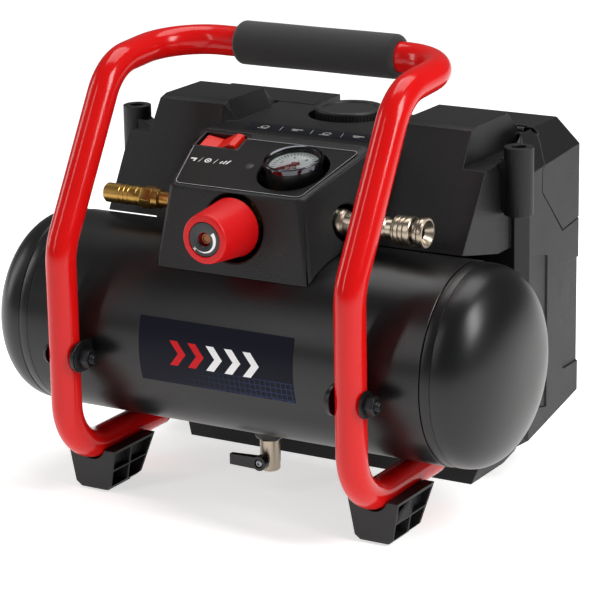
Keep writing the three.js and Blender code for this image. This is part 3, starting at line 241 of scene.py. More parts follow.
class Finishes(Enum):
    """Every plain finish on the machine."""

    # Powder coat bakes glassy with a faint orange peel, so highlights stay long and clean.
    RED_POWDER_COAT = Finish("steel_red_powder_coat", "c60c0c", "cf100f", 0.16, grain=1.6,
                             depth=0.004, wave=9.0, wave_depth=0.02, specular=0.32)
    TANK_POWDER_COAT = Finish("steel_black_powder_coat", "0a0a0b", "0e0f10", 0.32, grain=1.2,
                              depth=0.012, wave=7.0, wave_depth=0.03, specular=0.4)
    # Spark-eroded moulds leave a fine pebble that scatters light to grey. It is drawn much
    # coarser than the real 0.2 mm grain so that it shows.
    MOULDED_PA = Finish("polyamide_black_spark_grain", "0c0c0d", "121213", 0.48, grain=1.3,
                        depth=0.3, specular=0.38)
    MOULDED_ABS = Finish("abs_charcoal_spark_grain", "131314", "171718", 0.5, grain=1.0,
                         depth=0.06)
    SMOOTH_ABS = Finish("abs_black_polished_mould", "0c0c0d", "101011", 0.3, grain=1.0,
                        depth=0.004)
    # A film over the panel is matt, so it stays darker than the moulding round it.
    PANEL_FILM = Finish("polyester_black_panel_film", "060607", "080809", 0.55, specular=0.2,
                        depth=0.002)
    RED_ABS = Finish("abs_red_satin_mould", "c40b0f", "cb0f12", 0.38, grain=0.9, depth=0.006,
                     specular=0.28)
    NEEDLE_PAINT = Finish("aluminium_red_painted_needle", "7c1216", "841419", 0.5)
    ROCKER_PC = Finish("polycarbonate_red_rocker", "d41c0a", "cc1608", 0.36, grain=1.0,
                       depth=0.003, specular=0.3)
    # Closed-cell foam has open, burst cells on its skin that swallow light.
    FOAM = Finish("nbr_foam_extruded", "141414", "191919", 0.85, grain=0.7, depth=0.14,
                  sheen=0.2, gloss_drift=0.04)
    RUBBER = Finish("sbr_rubber_moulded", "121213", "171718", 0.58, grain=0.9, depth=0.03)
    BRASS = Finish("brass_turned", "ab8443", "bd9754", 0.32, metallic=1.0, grain=0.8,
                   depth=0.006)
    NICKEL = Finish("brass_nickel_plated", "a89c8b", "b5aa9a", 0.3, metallic=1.0, grain=0.9,
                    depth=0.004)
    BRONZE = Finish("bronze_sintered", "7d5138", "8f6248", 0.4, metallic=1.0, grain=0.5,
                    depth=0.02)
    ZINC_STEEL = Finish("steel_zinc_plated", "8d9094", "a0a3a6", 0.32, metallic=1.0)
    BLACK_ZINC = Finish("steel_black_zinc", "27282a", "333436", 0.42, metallic=0.9)
    CAST_ALUMINIUM = Finish("aluminium_cast", "9a9c9e", "a8aaac", 0.5, metallic=1.0, grain=0.9,
                            depth=0.04)
    CHROME = Finish("steel_chrome_plated", "c9ccd0", "d4d6d9", 0.08, metallic=1.0, depth=0.001,
                    gloss_drift=0.02)
    BLACK_CHROME = Finish("steel_black_chrome", "4a4b4e", "55565a", 0.1, metallic=1.0,
                          depth=0.001, gloss_drift=0.02)
    STRIP_VINYL = Finish("vinyl_navy_label", "080c18", "0a0e1b", 0.5, specular=0.25, depth=0.002)
    SOLDER_MASK = Finish("fibreglass_solder_mask", "1d5a35", "226540", 0.4)
    PRINT_WHITE = Finish("ink_white_pad_printed", "e4e4e2", "dcdcda", 0.5, depth=0.002)
    # Light grey painted on the inset panel's raised border ring, as a painted highlight of its
    # edge.
    PRINT_GREY = Finish("ink_grey_pad_printed", "8b8b8d", "929294", 0.5, depth=0.002)
    FLOOR_PAPER = Finish("paper_studio_background", "f4f3f2", "f1f0ef", 0.9, depth=0.0,
                         glow=0.62)

    def material(self) -> bpy.types.Material:
        """Gives the material, which is made the first time that it is asked for."""
        found = bpy.data.materials.get(self.value.name)
        return found or self.value.build()


@dataclass(frozen=True)
class TankLabel(Finish):
    """Printed vinyl: a dark blue ground with a plain chevron band and a faint mesh.

    Attributes:
        half_length: Half the label's length.
        band: Half the height of the chevron band.
        pitch: The distance from one chevron to the next.
        middle_z: The height of the label's middle.
    """

    half_length: float = 63.0
    band: float = 9.0
    pitch: float = 15.0
    middle_z: float = 121.0

    def build(self) -> bpy.types.Material:
        """Makes the label's material.

        Returns:
            The material, whose pattern runs along the tank.
        """
        material, tree, shader, place = self.begin()
        split = node(tree, "ShaderNodeSeparateXYZ", links={"Vector": place.outputs["Object"]})

        def maths(kind: str, *terms: object) -> bpy.types.NodeSocket:
            """Adds one sum, as the helper outside does."""
            return summed(tree, kind, *terms)

        along = maths("MULTIPLY", split.outputs["X"], 1 / MM)
        height = maths("MULTIPLY_ADD", split.outputs["Z"], 1 / MM, -self.middle_z)
        rise = maths("ABSOLUTE", height)
        # Chevrons that point along the tank, in a band across the label's middle.
        slant = maths("ADD", along, maths("MULTIPLY", rise, 0.8))
        phase = maths("FRACT", maths("DIVIDE", slant, self.pitch))
        stripe = maths("LESS_THAN", phase, 0.42)
        in_band = maths("LESS_THAN", rise, self.band)
        right_of = maths("GREATER_THAN", slant, -self.half_length * 0.52)
        left_of = maths("LESS_THAN", slant, self.half_length * 0.7)
        white = maths("MULTIPLY", maths("MULTIPLY", stripe, in_band),
                      maths("MULTIPLY", right_of, left_of))
        # The first chevrons are red.
        red = maths("LESS_THAN", slant, -self.pitch / 2)
        # A fine mesh under the band, which fades in towards the lower right.
        cells = node(tree, "ShaderNodeTexVoronoi",
                    {"feature": "DISTANCE_TO_EDGE", "Scale": 1 / (4.2 * MM), "Randomness": 0.12},
                    {"Vector": place.outputs["Object"]})
        wire = maths("LESS_THAN", cells.outputs["Distance"], 0.07)
        fade = node(tree, "ShaderNodeMapRange", {"From Min": -5.0, "From Max": 60.0,
                                                 "To Max": 0.6},
                    {"Value": maths("SUBTRACT", along, maths("MULTIPLY", height, 1.5))})
        below = maths("LESS_THAN", height, -self.band)
        mesh = maths("MULTIPLY", maths("MULTIPLY", wire, below), fade.outputs["Result"])
        ground = node(tree, "ShaderNodeMix", {"data_type": "RGBA", 6: linear(self.colour),
                                              7: linear("2c3862")}, {0: mesh})
        ink = node(tree, "ShaderNodeMix", {"data_type": "RGBA", 6: linear("e9e9ea"),
                                           7: linear("c3161c")}, {0: red})
        marked = node(tree, "ShaderNodeMix", {"data_type": "RGBA"},
                      {0: white, 6: ground.outputs[2], 7: ink.outputs[2]})
        tree.links.new(marked.outputs[2], shader.inputs["Base Color"])
        shader.inputs["Roughness"].default_value = self.roughness
        return material


@dataclass(frozen=True)
class PolarPrint(Finish):
    """A disc with a printed pattern that follows the turn about its own axis.

    Attributes:
        centre: The disc's centre.
        across: The direction from the centre that is the pattern's right.
        up: The direction from the centre that is the pattern's top.
        ink: The sRGB colour of the print.
        inner: The print's inner radius.
        outer: The print's outer radius.
        ticks: How many marks stand round the scale, or 0 for one crescent.
        sweep: Half the angle that the scale or the crescent covers.
        turn: The angle of its middle, anticlockwise from the right.
    """

    centre: tuple[float, float, float] = (0.0, 0.0, 0.0)
    across: tuple[float, float, float] = (1.0, 0.0, 0.0)
    up: tuple[float, float, float] = (0.0, 0.0, 1.0)
    ink: str = "f0f0ee"
    inner: float = 5.0
    outer: float = 7.0
    ticks: int = 0
    sweep: float = 90.0
    turn: float = 0.0

    def build(self) -> bpy.types.Material:
        """Makes the printed disc's material.

        Returns:
            The material.
        """
        material, tree, shader, place = self.begin()
        offset = node(tree, "ShaderNodeVectorMath",
                      {"operation": "SUBTRACT", 1: tuple(v * MM for v in self.centre)},
                      {0: place.outputs["Object"]})

        def maths(kind: str, *terms: object) -> bpy.types.NodeSocket:
            """Adds one sum, as the helper outside does."""
            return summed(tree, kind, *terms)

        def along(direction: tuple[float, float, float]) -> bpy.types.NodeSocket:
            """Measures the place along a direction, in millimetres.

            Args:
                direction: The direction.

            Returns:
                The socket with the distance.
            """
            dot = node(tree, "ShaderNodeVectorMath", {"operation": "DOT_PRODUCT", 1: direction},
                       {0: offset.outputs[0]})
            return maths("MULTIPLY", dot.outputs["Value"], 1 / MM)

        right, top = along(self.across), along(self.up)
        radius = maths("SQRT", maths("ADD", maths("MULTIPLY", right, right),
                                     maths("MULTIPLY", top, top)))
        turned_by = math.radians(self.turn)
        # The angle is measured from the pattern's middle, so both its ends are alike.
        level = maths("ADD", maths("MULTIPLY", right, math.cos(turned_by)),
                      maths("MULTIPLY", top, math.sin(turned_by)))
        beside = maths("SUBTRACT", maths("MULTIPLY", top, math.cos(turned_by)),
                       maths("MULTIPLY", right, math.sin(turned_by)))
        angle = maths("ARCTAN2", beside, level)
        within = maths("LESS_THAN", maths("ABSOLUTE", angle), math.radians(self.sweep))
        if self.ticks:
            step = math.radians(2 * self.sweep) / self.ticks
            phase = maths("ABSOLUTE", maths("SUBTRACT", maths(
                "FRACT", maths("ADD", maths("DIVIDE", angle, step), 100.5)), 0.5))
            mark = maths("LESS_THAN", phase, 0.16)
            edge = self.inner
        else:
            mark = 1.0
            share = maths("DIVIDE", maths("ADD", angle, math.radians(self.sweep)),
                          math.radians(2 * self.sweep))
            edge = maths("SUBTRACT", self.outer,
                         maths("MULTIPLY", share, self.outer - self.inner))
        band = maths("MULTIPLY", maths("GREATER_THAN", radius, edge),
                     maths("LESS_THAN", radius, self.outer))
        print_mask = maths("MULTIPLY", maths("MULTIPLY", band, within), mark)
        colour = node(tree, "ShaderNodeMix", {"data_type": "RGBA", 6: linear(self.colour),
                                              7: linear(self.ink)}, {0: print_mask})
        tree.links.new(colour.outputs[2], shader.inputs["Base Color"])
        shader.inputs["Roughness"].default_value = self.roughness
        return material


@dataclass(frozen=True)
class GaugeGlass(Finish):
    """Clear polycarbonate of the gauge's window."""

    def build(self) -> bpy.types.Material:
        """Makes the clear material.

        Returns:
            The material.
        """
        material, tree, shader, place = self.begin()
        shader.inputs["Base Color"].default_value = linear(self.colour)
        shader.inputs["Transmission Weight"].default_value = 1.0
        shader.inputs["IOR"].default_value = 1.2
        smear = node(tree, "ShaderNodeTexNoise", {"Scale": 60.0}, {"Vector": place.outputs[3]})
        gloss = node(tree, "ShaderNodeMapRange", {"To Min": 0.01, "To Max": 0.06},
                     {"Value": smear.outputs["Fac"]})
        tree.links.new(gloss.outputs["Result"], shader.inputs["Roughness"])
        return material


# ---------------------------------------------------------------- bench work
def deselect() -> None:
    """Leaves nothing selected, in object mode."""
    if bpy.context.mode != "OBJECT":
        bpy.ops.object.mode_set(mode="OBJECT")
    bpy.ops.object.select_all(action="DESELECT")


def take(piece: bpy.types.Object) -> None:
    """Makes a piece the one selected and active object.

    Args:
        piece: The piece.
    """
    deselect()
    piece.select_set(True)
    bpy.context.view_layer.objects.active = piece


def started(name: str) -> bpy.types.Object:
    """Names the primitive that an operator just added, and opens it for editing.

    Args:
        name: The piece's name.

    Returns:
        The piece, in edit mode with all of it selected.
    """
    piece = bpy.context.object
    piece.name = name
    piece.data.name = name
    bpy.ops.object.mode_set(mode="EDIT")
    bpy.ops.mesh.select_mode(type="VERT")
    bpy.ops.mesh.select_all(action="SELECT")
    return piece


def settle(piece: bpy.types.Object, placing: Optional[Matrix] = None) -> None:
    """Closes editing and moves the piece's place into its mesh.

    Args:
        piece: The piece.
        placing: Where the piece goes, if it isn't there yet.
    """
    take(piece)
    if placing is not None:
        piece.matrix_world = placing
    bpy.ops.object.transform_apply(location=True, rotation=True, scale=True)


def add_modifier(piece: bpy.types.Object, kind: str, **settings: object) -> None:
    """Adds a modifier and applies it.

    Args:
        piece: The piece.
        kind: The modifier's type.
        **settings: The modifier's settings.
    """
    take(piece)
    modifier = piece.modifiers.new(kind.lower(), kind)
    for key, value in settings.items():
        setattr(modifier, key, value)
    bpy.ops.object.modifier_apply(modifier=modifier.name)


def smooth(piece: bpy.types.Object, angle: float = 32.0) -> None:
    """Shades a piece smooth across its softer edges.

    Args:
        piece: The piece.
        angle: The sharpest edge that is still smoothed.
    """
    take(piece)
    bpy.ops.object.shade_smooth_by_angle(angle=math.radians(angle))


def select_where(piece: bpy.types.Object,
                 test: Callable[[bpy.types.MeshPolygon], bool]) -> None:
    """Opens a piece for editing with only the faces selected that pass a test.

    Args:
        piece: The piece.
        test: Says whether a face is wanted.
    """
    take(piece)
    bpy.ops.object.mode_set(mode="EDIT")
    bpy.ops.mesh.select_mode(type="FACE")
    bpy.ops.mesh.select_all(action="DESELECT")
    bpy.ops.object.mode_set(mode="OBJECT")
    for face in piece.data.polygons:
        face.select = test(face)
    bpy.ops.object.mode_set(mode="EDIT")


def cut_with(piece: bpy.types.Object, cutter: bpy.types.Object) -> None:
    """Cuts a piece with another, which is used up.

    Args:
        piece: The piece.
        cutter: The shape of the hole.
    """
    add_modifier(piece, "BOOLEAN", operation="DIFFERENCE", solver="EXACT", object=cutter)
    bpy.data.objects.remove(cutter)


def joined(name: str, pieces: Sequence[bpy.types.Object]) -> bpy.types.Object:
    """Joins pieces into one object.

    Args:
        name: The new object's name.
        pieces: The pieces.

    Returns:
        The joined object.
    """
    take(pieces[0])
    for piece in pieces[1:]:
        piece.select_set(True)
    bpy.ops.object.join()
    pieces[0].name = name
    return pieces[0]


def facing(origin: Vector, direction: Vector) -> Matrix:
    """Gives the placing that stands a piece made along +Z on an origin, along a direction.

    Args:
        origin: Where the piece's foot goes, in metres.
        direction: Where its +Z goes.

    Returns:
        The placing.
    """
    return Matrix.Translation(origin) @ direction.to_track_quat("Z", "Y").to_matrix().to_4x4()


def arc(centre: tuple[float, float], radius: float, start: float, end: float,
        steps: int) -> list[tuple[float, float]]:
    """Gives the points of an arc for an outline.

    Args:
        centre: Its centre.
        radius: Its radius.
        start: Its first angle.
        end: Its last angle.
        steps: How many steps it takes.

    Returns:
        The points, ends included.
    """
    angles = [math.radians(start + (end - start) * i / steps) for i in range(steps + 1)]
    return [(centre[0] + radius * math.cos(a), centre[1] + radius * math.sin(a)) for a in angles]


def turned(name: str, outline: Outline, placing: Matrix, segments: int = 64,
           edge: float = 0.0) -> bpy.types.Object:
    """Turns a piece on a lathe: one point is drawn out along an outline and spun about +Z.

    Args:
        name: The piece's name.
        outline: Radius and height pairs.
        placing: Where the piece goes.
        segments: How many steps the spin takes, so 6 makes a hexagon.
        edge: The width that its sharp edges are broken by.

    Returns:
        The piece.
    """
    deselect()
    bpy.ops.mesh.primitive_circle_add(vertices=3, radius=MM)
    piece = started(name)
    bpy.ops.mesh.merge(type="CENTER")
    bpy.ops.transform.translate(value=(outline[0][0] * MM, 0, outline[0][1] * MM))
    for (r0, h0), (r1, h1) in zip(outline, outline[1:]):
        step = ((r1 - r0) * MM, 0, (h1 - h0) * MM)
        bpy.ops.mesh.extrude_vertices_move(TRANSFORM_OT_translate={"value": step})
    bpy.ops.mesh.select_all(action="SELECT")
    bpy.ops.mesh.spin(steps=segments, angle=math.tau, center=(0, 0, 0), axis=(0, 0, 1))
    bpy.ops.mesh.select_all(action="SELECT")
    bpy.ops.mesh.remove_doubles(threshold=TURNED_WELD)
    bpy.ops.mesh.dissolve_degenerate(threshold=TURNED_SLIVER)
    bpy.ops.mesh.select_all(action="SELECT")
    bpy.ops.mesh.normals_make_consistent(inside=False)
    settle(piece, placing)
    if edge:
        add_modifier(piece, "BEVEL", width=edge * MM, segments=2, limit_method="ANGLE",
                     angle_limit=FINE_EDGE)
    smooth(piece)
    return piece


def block(name: str, size: Sequence[float], middle: Sequence[float], edge: float,
          placing: Optional[Matrix] = None) -> bpy.types.Object:
    """Makes a block with broken edges.

    Args:
        name: The piece's name.
        size: Its three sizes.
        middle: Its middle before it is placed.
        edge: The width that its edges are broken by.
        placing: Where the block goes, if it is made at the origin.

    Returns:
        The piece.
    """
    deselect()
    bpy.ops.mesh.primitive_cube_add(size=MM)
    piece = started(name)
    bpy.ops.transform.resize(value=tuple(size))
    bpy.ops.transform.translate(value=tuple(v * MM for v in middle))
    bpy.ops.mesh.bevel(offset=edge * MM, segments=2, affect="EDGES")
    settle(piece, placing)
    return piece


def refined(name: str, source: str, edge: float, segments: int = 3, sharp: float = 24.0,
            clamp: bool = True) -> bpy.types.Object:
    """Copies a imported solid, welds it and breaks its edges as its mould or tool does.

    Args:
        name: The new piece's name.
        source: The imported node.
        edge: The width that edges are broken by.
        segments: How many faces round an edge.
        sharp: The smallest angle that counts as an edge.
        clamp: Whether short edges keep the bevels narrow everywhere.

    Returns:
        The piece.
    """
    take(frame["nodes"][source])
    bpy.ops.object.duplicate(linked=False)
    piece = bpy.context.object
    bpy.ops.object.parent_clear(type="CLEAR_KEEP_TRANSFORM")
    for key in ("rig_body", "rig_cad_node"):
        if key in piece:
            del piece[key]
    piece = started(name)
    piece.data.materials.clear()
    bpy.ops.mesh.remove_doubles(threshold=WELD)
    bpy.ops.mesh.dissolve_degenerate(threshold=SLIVER)
    bpy.ops.mesh.select_all(action="SELECT")
    bpy.ops.mesh.dissolve_limited(angle_limit=COPLANAR)
    settle(piece)
    if edge:
        add_modifier(piece, "BEVEL", width=edge * MM, segments=segments, limit_method="ANGLE",
                     angle_limit=math.radians(sharp), use_clamp_overlap=clamp,
                     miter_outer="MITER_ARC")
    smooth(piece, 38)
    add_modifier(piece, "WEIGHTED_NORMAL", mode="FACE_AREA", weight=50, keep_sharp=True)
    return piece


def fit(piece: bpy.types.Object, body: str, finish: bpy.types.Material,
        stands_for: Iterable[str] = ()) -> bpy.types.Object:
    """Gives a piece its finish and says what it belongs to.

    Args:
        piece: The piece.
        body: The body that it moves with.
        finish: Its material.
        stands_for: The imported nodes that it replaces.

    Returns:
        The piece.
    """
    piece.data.materials.clear()
    piece.data.materials.append(finish)
    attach(piece, body)
    if stands_for:
        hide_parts(*stands_for)
    LOG.info("%s rides on %s: %d faces", piece.name, body, len(piece.data.polygons))
    return piece


def corners(name: str) -> tuple[Vector, Vector]:
    """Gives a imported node's lowest and highest corner in metres."""
    low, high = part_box(name)
    return Vector(low), Vector(high)


def middle_of(name: str) -> Vector:
    """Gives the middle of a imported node's box in metres."""
    low, high = corners(name)
    return (low + high) / 2


X_AXIS = Vector((1, 0, 0))
Y_AXIS = Vector((0, 1, 0))
Z_AXIS = Vector((0, 0, 1))
MACHINE = "machine"


# ---------------------------------------------------------------- tank
@dataclass
class Tank:
    """The welded air tank with its label.

    Attributes:
        wall: Sheet thickness.
        skirt: Straight length of a dome before its crown.
        groove: Depth of the pressed ring at the skirt's end.
        squareness: How square the crown's outline is.
        label_half: Half the label's length.
        label_angle: Half the angle that the label covers round the tank.
    """

    wall: float = 2.0
    skirt: float = 8.5
    groove: float = 0.5
    squareness: float = 0.86
    label_half: float = 63.0
    label_angle: float = 19.0

    def __post_init__(self) -> None:
        """Reads the tank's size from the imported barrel."""
        low, high = corners("tank_barrel")
        self.radius = (high.z - low.z) / 2 / MM
        self.half = (high.x - low.x) / 2 / MM
        self.axis = (low + high) / 2
        self.reach = corners("tank_dome_right")[1].x / MM - self.half

    def build(self) -> None:
        """Makes the barrel, both domes, the tabs and the label."""
        paint = Finishes.TANK_POWDER_COAT.material()
        self.barrel(paint)
        for side, sign in SIDES:
            self.dome(side, sign, paint)
            tab = refined(f"tank_tab_plate_{side}", f"tank_tab_{side}", 0.7, 2)
            fit(tab, MACHINE, paint, [f"tank_tab_{side}"])
        self.label()

    def barrel(self, paint: bpy.types.Material) -> None:
        """Turns the barrel with a slight joggle at each end.

        Args:
            paint: The tank's paint.
        """
        r, inner = self.radius, self.radius - self.wall
        outline = [(inner, -self.half), (r - 0.3, -self.half), (r, -self.half + 0.4),
                   (r, -self.half + 60), (r, 0), (r, self.half - 60), (r, self.half - 0.4),
                   (r - 0.3, self.half), (inner, self.half), (inner, -self.half)]
        piece = turned("tank_barrel_shell", outline, facing(self.axis, X_AXIS), 144)
        fit(piece, MACHINE, paint, ["tank_barrel"])

    def dome(self, side: str, sign: int, paint: bpy.types.Material) -> None:
        """Turns one pressed dome.

        Args:
            side: Left or right.
            sign: -1 for left, 1 for right.
            paint: The tank's paint.
        """
        r = self.radius - 0.5
        crown = []
        steps = 30
        for i in range(steps + 1):
            angle = i / steps * math.pi / 2
            crown.append((r * max(math.cos(angle), 0.0) ** self.squareness,
                          self.skirt + (self.reach - self.skirt)
                          * math.sin(angle) ** self.squareness))
        crown[-1] = (0.0, self.reach)
        inner = [(max(x - self.wall, 0.0), h - self.wall * (h - self.skirt)
                  / (self.reach - self.skirt)) for x, h in crown]
        start = [(r - self.wall - 1.3, -8.0), (r - self.wall + 0.2, -8.0),
                 (r - self.wall + 0.2, 0.3), (r - 0.5, 0.3), (r, 0.9), (r, self.skirt - 1.6),
                 (r - self.groove, self.skirt - 0.8)]
        outline = start + crown + inner[::-1] + [start[0]]
        piece = turned(f"tank_dome_shell_{side}", outline,
                       facing(self.axis + sign * self.half * MM * X_AXIS, sign * X_AXIS), 144)
        fit(piece, MACHINE, paint, [f"tank_dome_{side}"])

    def label(self) -> None:
        """Cuts the label from a sleeve round the barrel."""
        deselect()
        bpy.ops.mesh.primitive_cylinder_add(vertices=288, radius=(self.radius + 0.12) * MM,
                                            depth=2 * self.label_half * MM, end_fill_type="NOTHING",
                                            rotation=(0, math.pi / 2, 0), location=self.axis)
        piece = started("tank_label")
        for sign in (-1, 1):
            angle = math.radians(self.label_angle)
            normal = Vector((0, sign * math.sin(angle), math.cos(angle))) * sign
            bpy.ops.mesh.select_all(action="SELECT")
            bpy.ops.mesh.bisect(plane_co=self.axis, plane_no=normal,
                                clear_outer=True)
        bpy.ops.mesh.select_all(action="SELECT")
        bpy.ops.mesh.bisect(plane_co=self.axis, plane_no=Y_AXIS,
                            clear_outer=True)
        settle(piece)
        add_modifier(piece, "SOLIDIFY", thickness=0.1 * MM, offset=1.0)
        smooth(piece)
        finish = TankLabel("vinyl_printed_label", "060919", "060919", 0.42, specular=0.12,
                           half_length=self.label_half, middle_z=self.axis.z / MM)
        fit(piece, MACHINE, finish.build())


# ---------------------------------------------------------------- frame
@dataclass
class CarryFrame:
    """The bent tube frame, its grip, plugs, feet and fasteners.

    Attributes:
        tube: The tube's radius.
        rail_z: The height of the bottom rails.
        rail_end: Where the rails end at the back.
        knee_z: The height where the legs start to lean back.
        lean: The angle of the lean from upright.
        bend_z: The height where the arms turn to the handle.
        bends: Bend radii: rail to leg, knee, arm to handle, handle corner.
        sides: How many sides the tube's section has.
        grip_length: The grip's length.
    """

    tube: float = 11.0
    rail_z: float = 36.0
    rail_end: float = -14.0
    knee_z: float = 190.0
    lean: float = 30.3
    bend_z: float = 310.0
    bends: tuple[float, float, float, float] = (40.0, 45.0, 42.0, 41.0)
    sides: int = 48

    def __post_init__(self) -> None:
        """Reads the frame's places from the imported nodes."""
        low, high = corners("frame_tube")
        self.x = high.x / MM - self.tube
        self.y = low.y / MM + self.tube
        grip = middle_of("handle_grip")
        self.handle_y, self.handle_z = grip.y / MM, grip.z / MM

    def build(self) -> None:
        """Makes the tube and everything on it."""
        self.bent_tube()
        self.grip()
        for side, _ in SIDES:
            self.plug(side)
            foot = refined(f"foot_block_{side}", f"foot_{side}", 0.9, 3)
            fit(foot, MACHINE, Finishes.RUBBER.material(), [f"foot_{side}"])
            pad = refined(f"foot_pad_sole_{side}", f"foot_pad_{side}", 0.5, 2)
            fit(pad, MACHINE, Finishes.FOAM.material(), [f"foot_pad_{side}"])
            self.fasteners(side)

    def route(self) -> list[Vector]:
        """Gives the corners of the tube's centre line, from one rail's end to the other's."""
        bend_y = self.y + (self.bend_z - self.knee_z) * math.tan(math.radians(self.lean))
        half = [(self.x, self.rail_end, self.rail_z), (self.x, self.y, self.rail_z),
                (self.x, self.y, self.knee_z), (self.x, bend_y, self.bend_z),
                (self.x, self.handle_y, self.handle_z)]
        whole = half + [(-x, y, z) for x, y, z in reversed(half)]
        return [Vector(p) * MM for p in whole]

    def bent_tube(self) -> None:
        """Draws one ring out along the straights and spins it round the bends."""
        points = self.route()
        radii = [r * MM for r in (*self.bends, *reversed(self.bends))]
        heading = (points[1] - points[0]).normalized()
        deselect()
        bpy.ops.mesh.primitive_circle_add(vertices=self.sides, radius=self.tube * MM,
                                          fill_type="NGON")
        piece = started("frame_tube_bent")
        settle(piece, facing(points[0], heading))
        bpy.ops.object.mode_set(mode="EDIT")
        bpy.ops.mesh.select_all(action="SELECT")
        here = points[0]
        for i in range(1, len(points) - 1):
            onward = (points[i + 1] - points[i]).normalized()
            turn = heading.angle(onward)
            start = points[i] - heading * radii[i - 1] * math.tan(turn / 2)
            bpy.ops.mesh.extrude_region_move(TRANSFORM_OT_translate={"value": start - here})
            axis = heading.cross(onward).normalized()
            centre = start + axis.cross(heading) * radii[i - 1]
            steps = max(6, int(math.degrees(turn) / 6))
            bpy.ops.mesh.spin(steps=steps, angle=-turn, center=centre, axis=axis)
            here = points[i] + onward * radii[i - 1] * math.tan(turn / 2)
            heading = onward
        bpy.ops.mesh.extrude_region_move(TRANSFORM_OT_translate={"value": points[-1] - here})
        bpy.ops.mesh.select_all(action="SELECT")
        bpy.ops.mesh.remove_doubles(threshold=TURNED_WELD)
        bpy.ops.mesh.delete_loose()
        bpy.ops.mesh.select_all(action="SELECT")
        bpy.ops.mesh.normals_make_consistent(inside=False)
        settle(piece)
        smooth(piece, 40)
        fit(piece, MACHINE, Finishes.RED_POWDER_COAT.material(), ["frame_tube"])

    def grip(self) -> None:
        """Turns the foam grip with soft, slightly rolled ends."""
        low, high = corners("handle_grip")
        length = (high.x - low.x) / MM
        radius = (high.z - low.z) / 2 / MM
        bore, soft = self.tube + 0.1, 4.6
        outline = [(bore, 0.8), *arc((radius - soft, soft), soft, -90, 0, 8)]
        outline += [(radius, length * 0.25), (radius - 0.15, length * 0.5),
                    (radius, length * 0.75)]
        outline += [*arc((radius - soft, length - soft), soft, 0, 90, 8), (bore, length - 0.8),
                    (bore, 0.8)]
        start = Vector((low.x, (low.y + high.y) / 2, (low.z + high.z) / 2))
        piece = turned("handle_foam_grip", outline, facing(start, X_AXIS), 72)
        fit(piece, MACHINE, Finishes.FOAM.material(), ["handle_grip"])

    def plug(self, side: str) -> None:
        """Turns the rubber plug in the end of a rail.

        Args:
            side: Left or right.
        """
        low, high = corners(f"tube_plug_{side}")
        middle = (low + high) / 2
        outline = [(0, 0), (8, 0), (8, 9.4), (self.tube, 9.4), (self.tube, 11),
                   *arc((self.tube - 1.8, 11.2), 1.8, 0, 90, 5), (0, 13)]
        piece = turned(f"tube_plug_cap_{side}", outline,
                       facing(Vector((middle.x, low.y, middle.z)), Y_AXIS), 48)
        fit(piece, MACHINE, Finishes.RUBBER.material(), [f"tube_plug_{side}"])

    def fasteners(self, side: str) -> None:
        """Makes one frame bolt with its domed head, and its flanged nut.

        Args:
            side: Left or right.
        """
        finish = Finishes.BLACK_ZINC.material()
        low, high = corners(f"frame_bolt_{side}")
        nut_low, nut_high = corners(f"frame_nut_{side}")
        start = Vector((low.x, (low.y + high.y) / 2, (low.z + high.z) / 2))
        length = (high.x - low.x) / MM
        outline = [(0, 1.1), (2.1, 1.1), (2.1, 0.1), (4.2, 0.4), (6.2, 1.5), (7.3, 3.0),
                   (7.6, 4.5), (3.7, 4.5)]
        for i in range(6):
            base = length - 9.4 + i * 1.4
            outline += [(3.7, base), (3.2, base + 0.7)]
        outline += [(3.3, length - 0.6), (2.7, length), (0, length)]
        bolt = turned(f"frame_bolt_domed_{side}", outline, facing(start, X_AXIS), 40)
        fit(bolt, MACHINE, finish, [f"frame_bolt_{side}"])
        nut_start = Vector((nut_low.x, start.y, start.z))
        depth = (nut_high.x - nut_low.x) / MM
        flange = turned("nut_flange", [(4.1, 0), (9.8, 0), (9.8, 0.8), (7.4, 1.6), (4.1, 1.6),
                                       (4.1, 0)], facing(nut_start, X_AXIS), 48)
        hexagon = turned("nut_hexagon", [(4.1, 1.4), (7.2, 1.4), (7.2, depth - 0.6),
                                         (6.5, depth), (4.5, depth), (4.1, depth - 0.5),
                                         (4.1, 1.4)], facing(nut_start, X_AXIS), 6, 0.3)
        nut = joined(f"frame_nut_flanged_{side}", [flange, hexagon])
        fit(nut, MACHINE, finish, [f"frame_nut_{side}"])


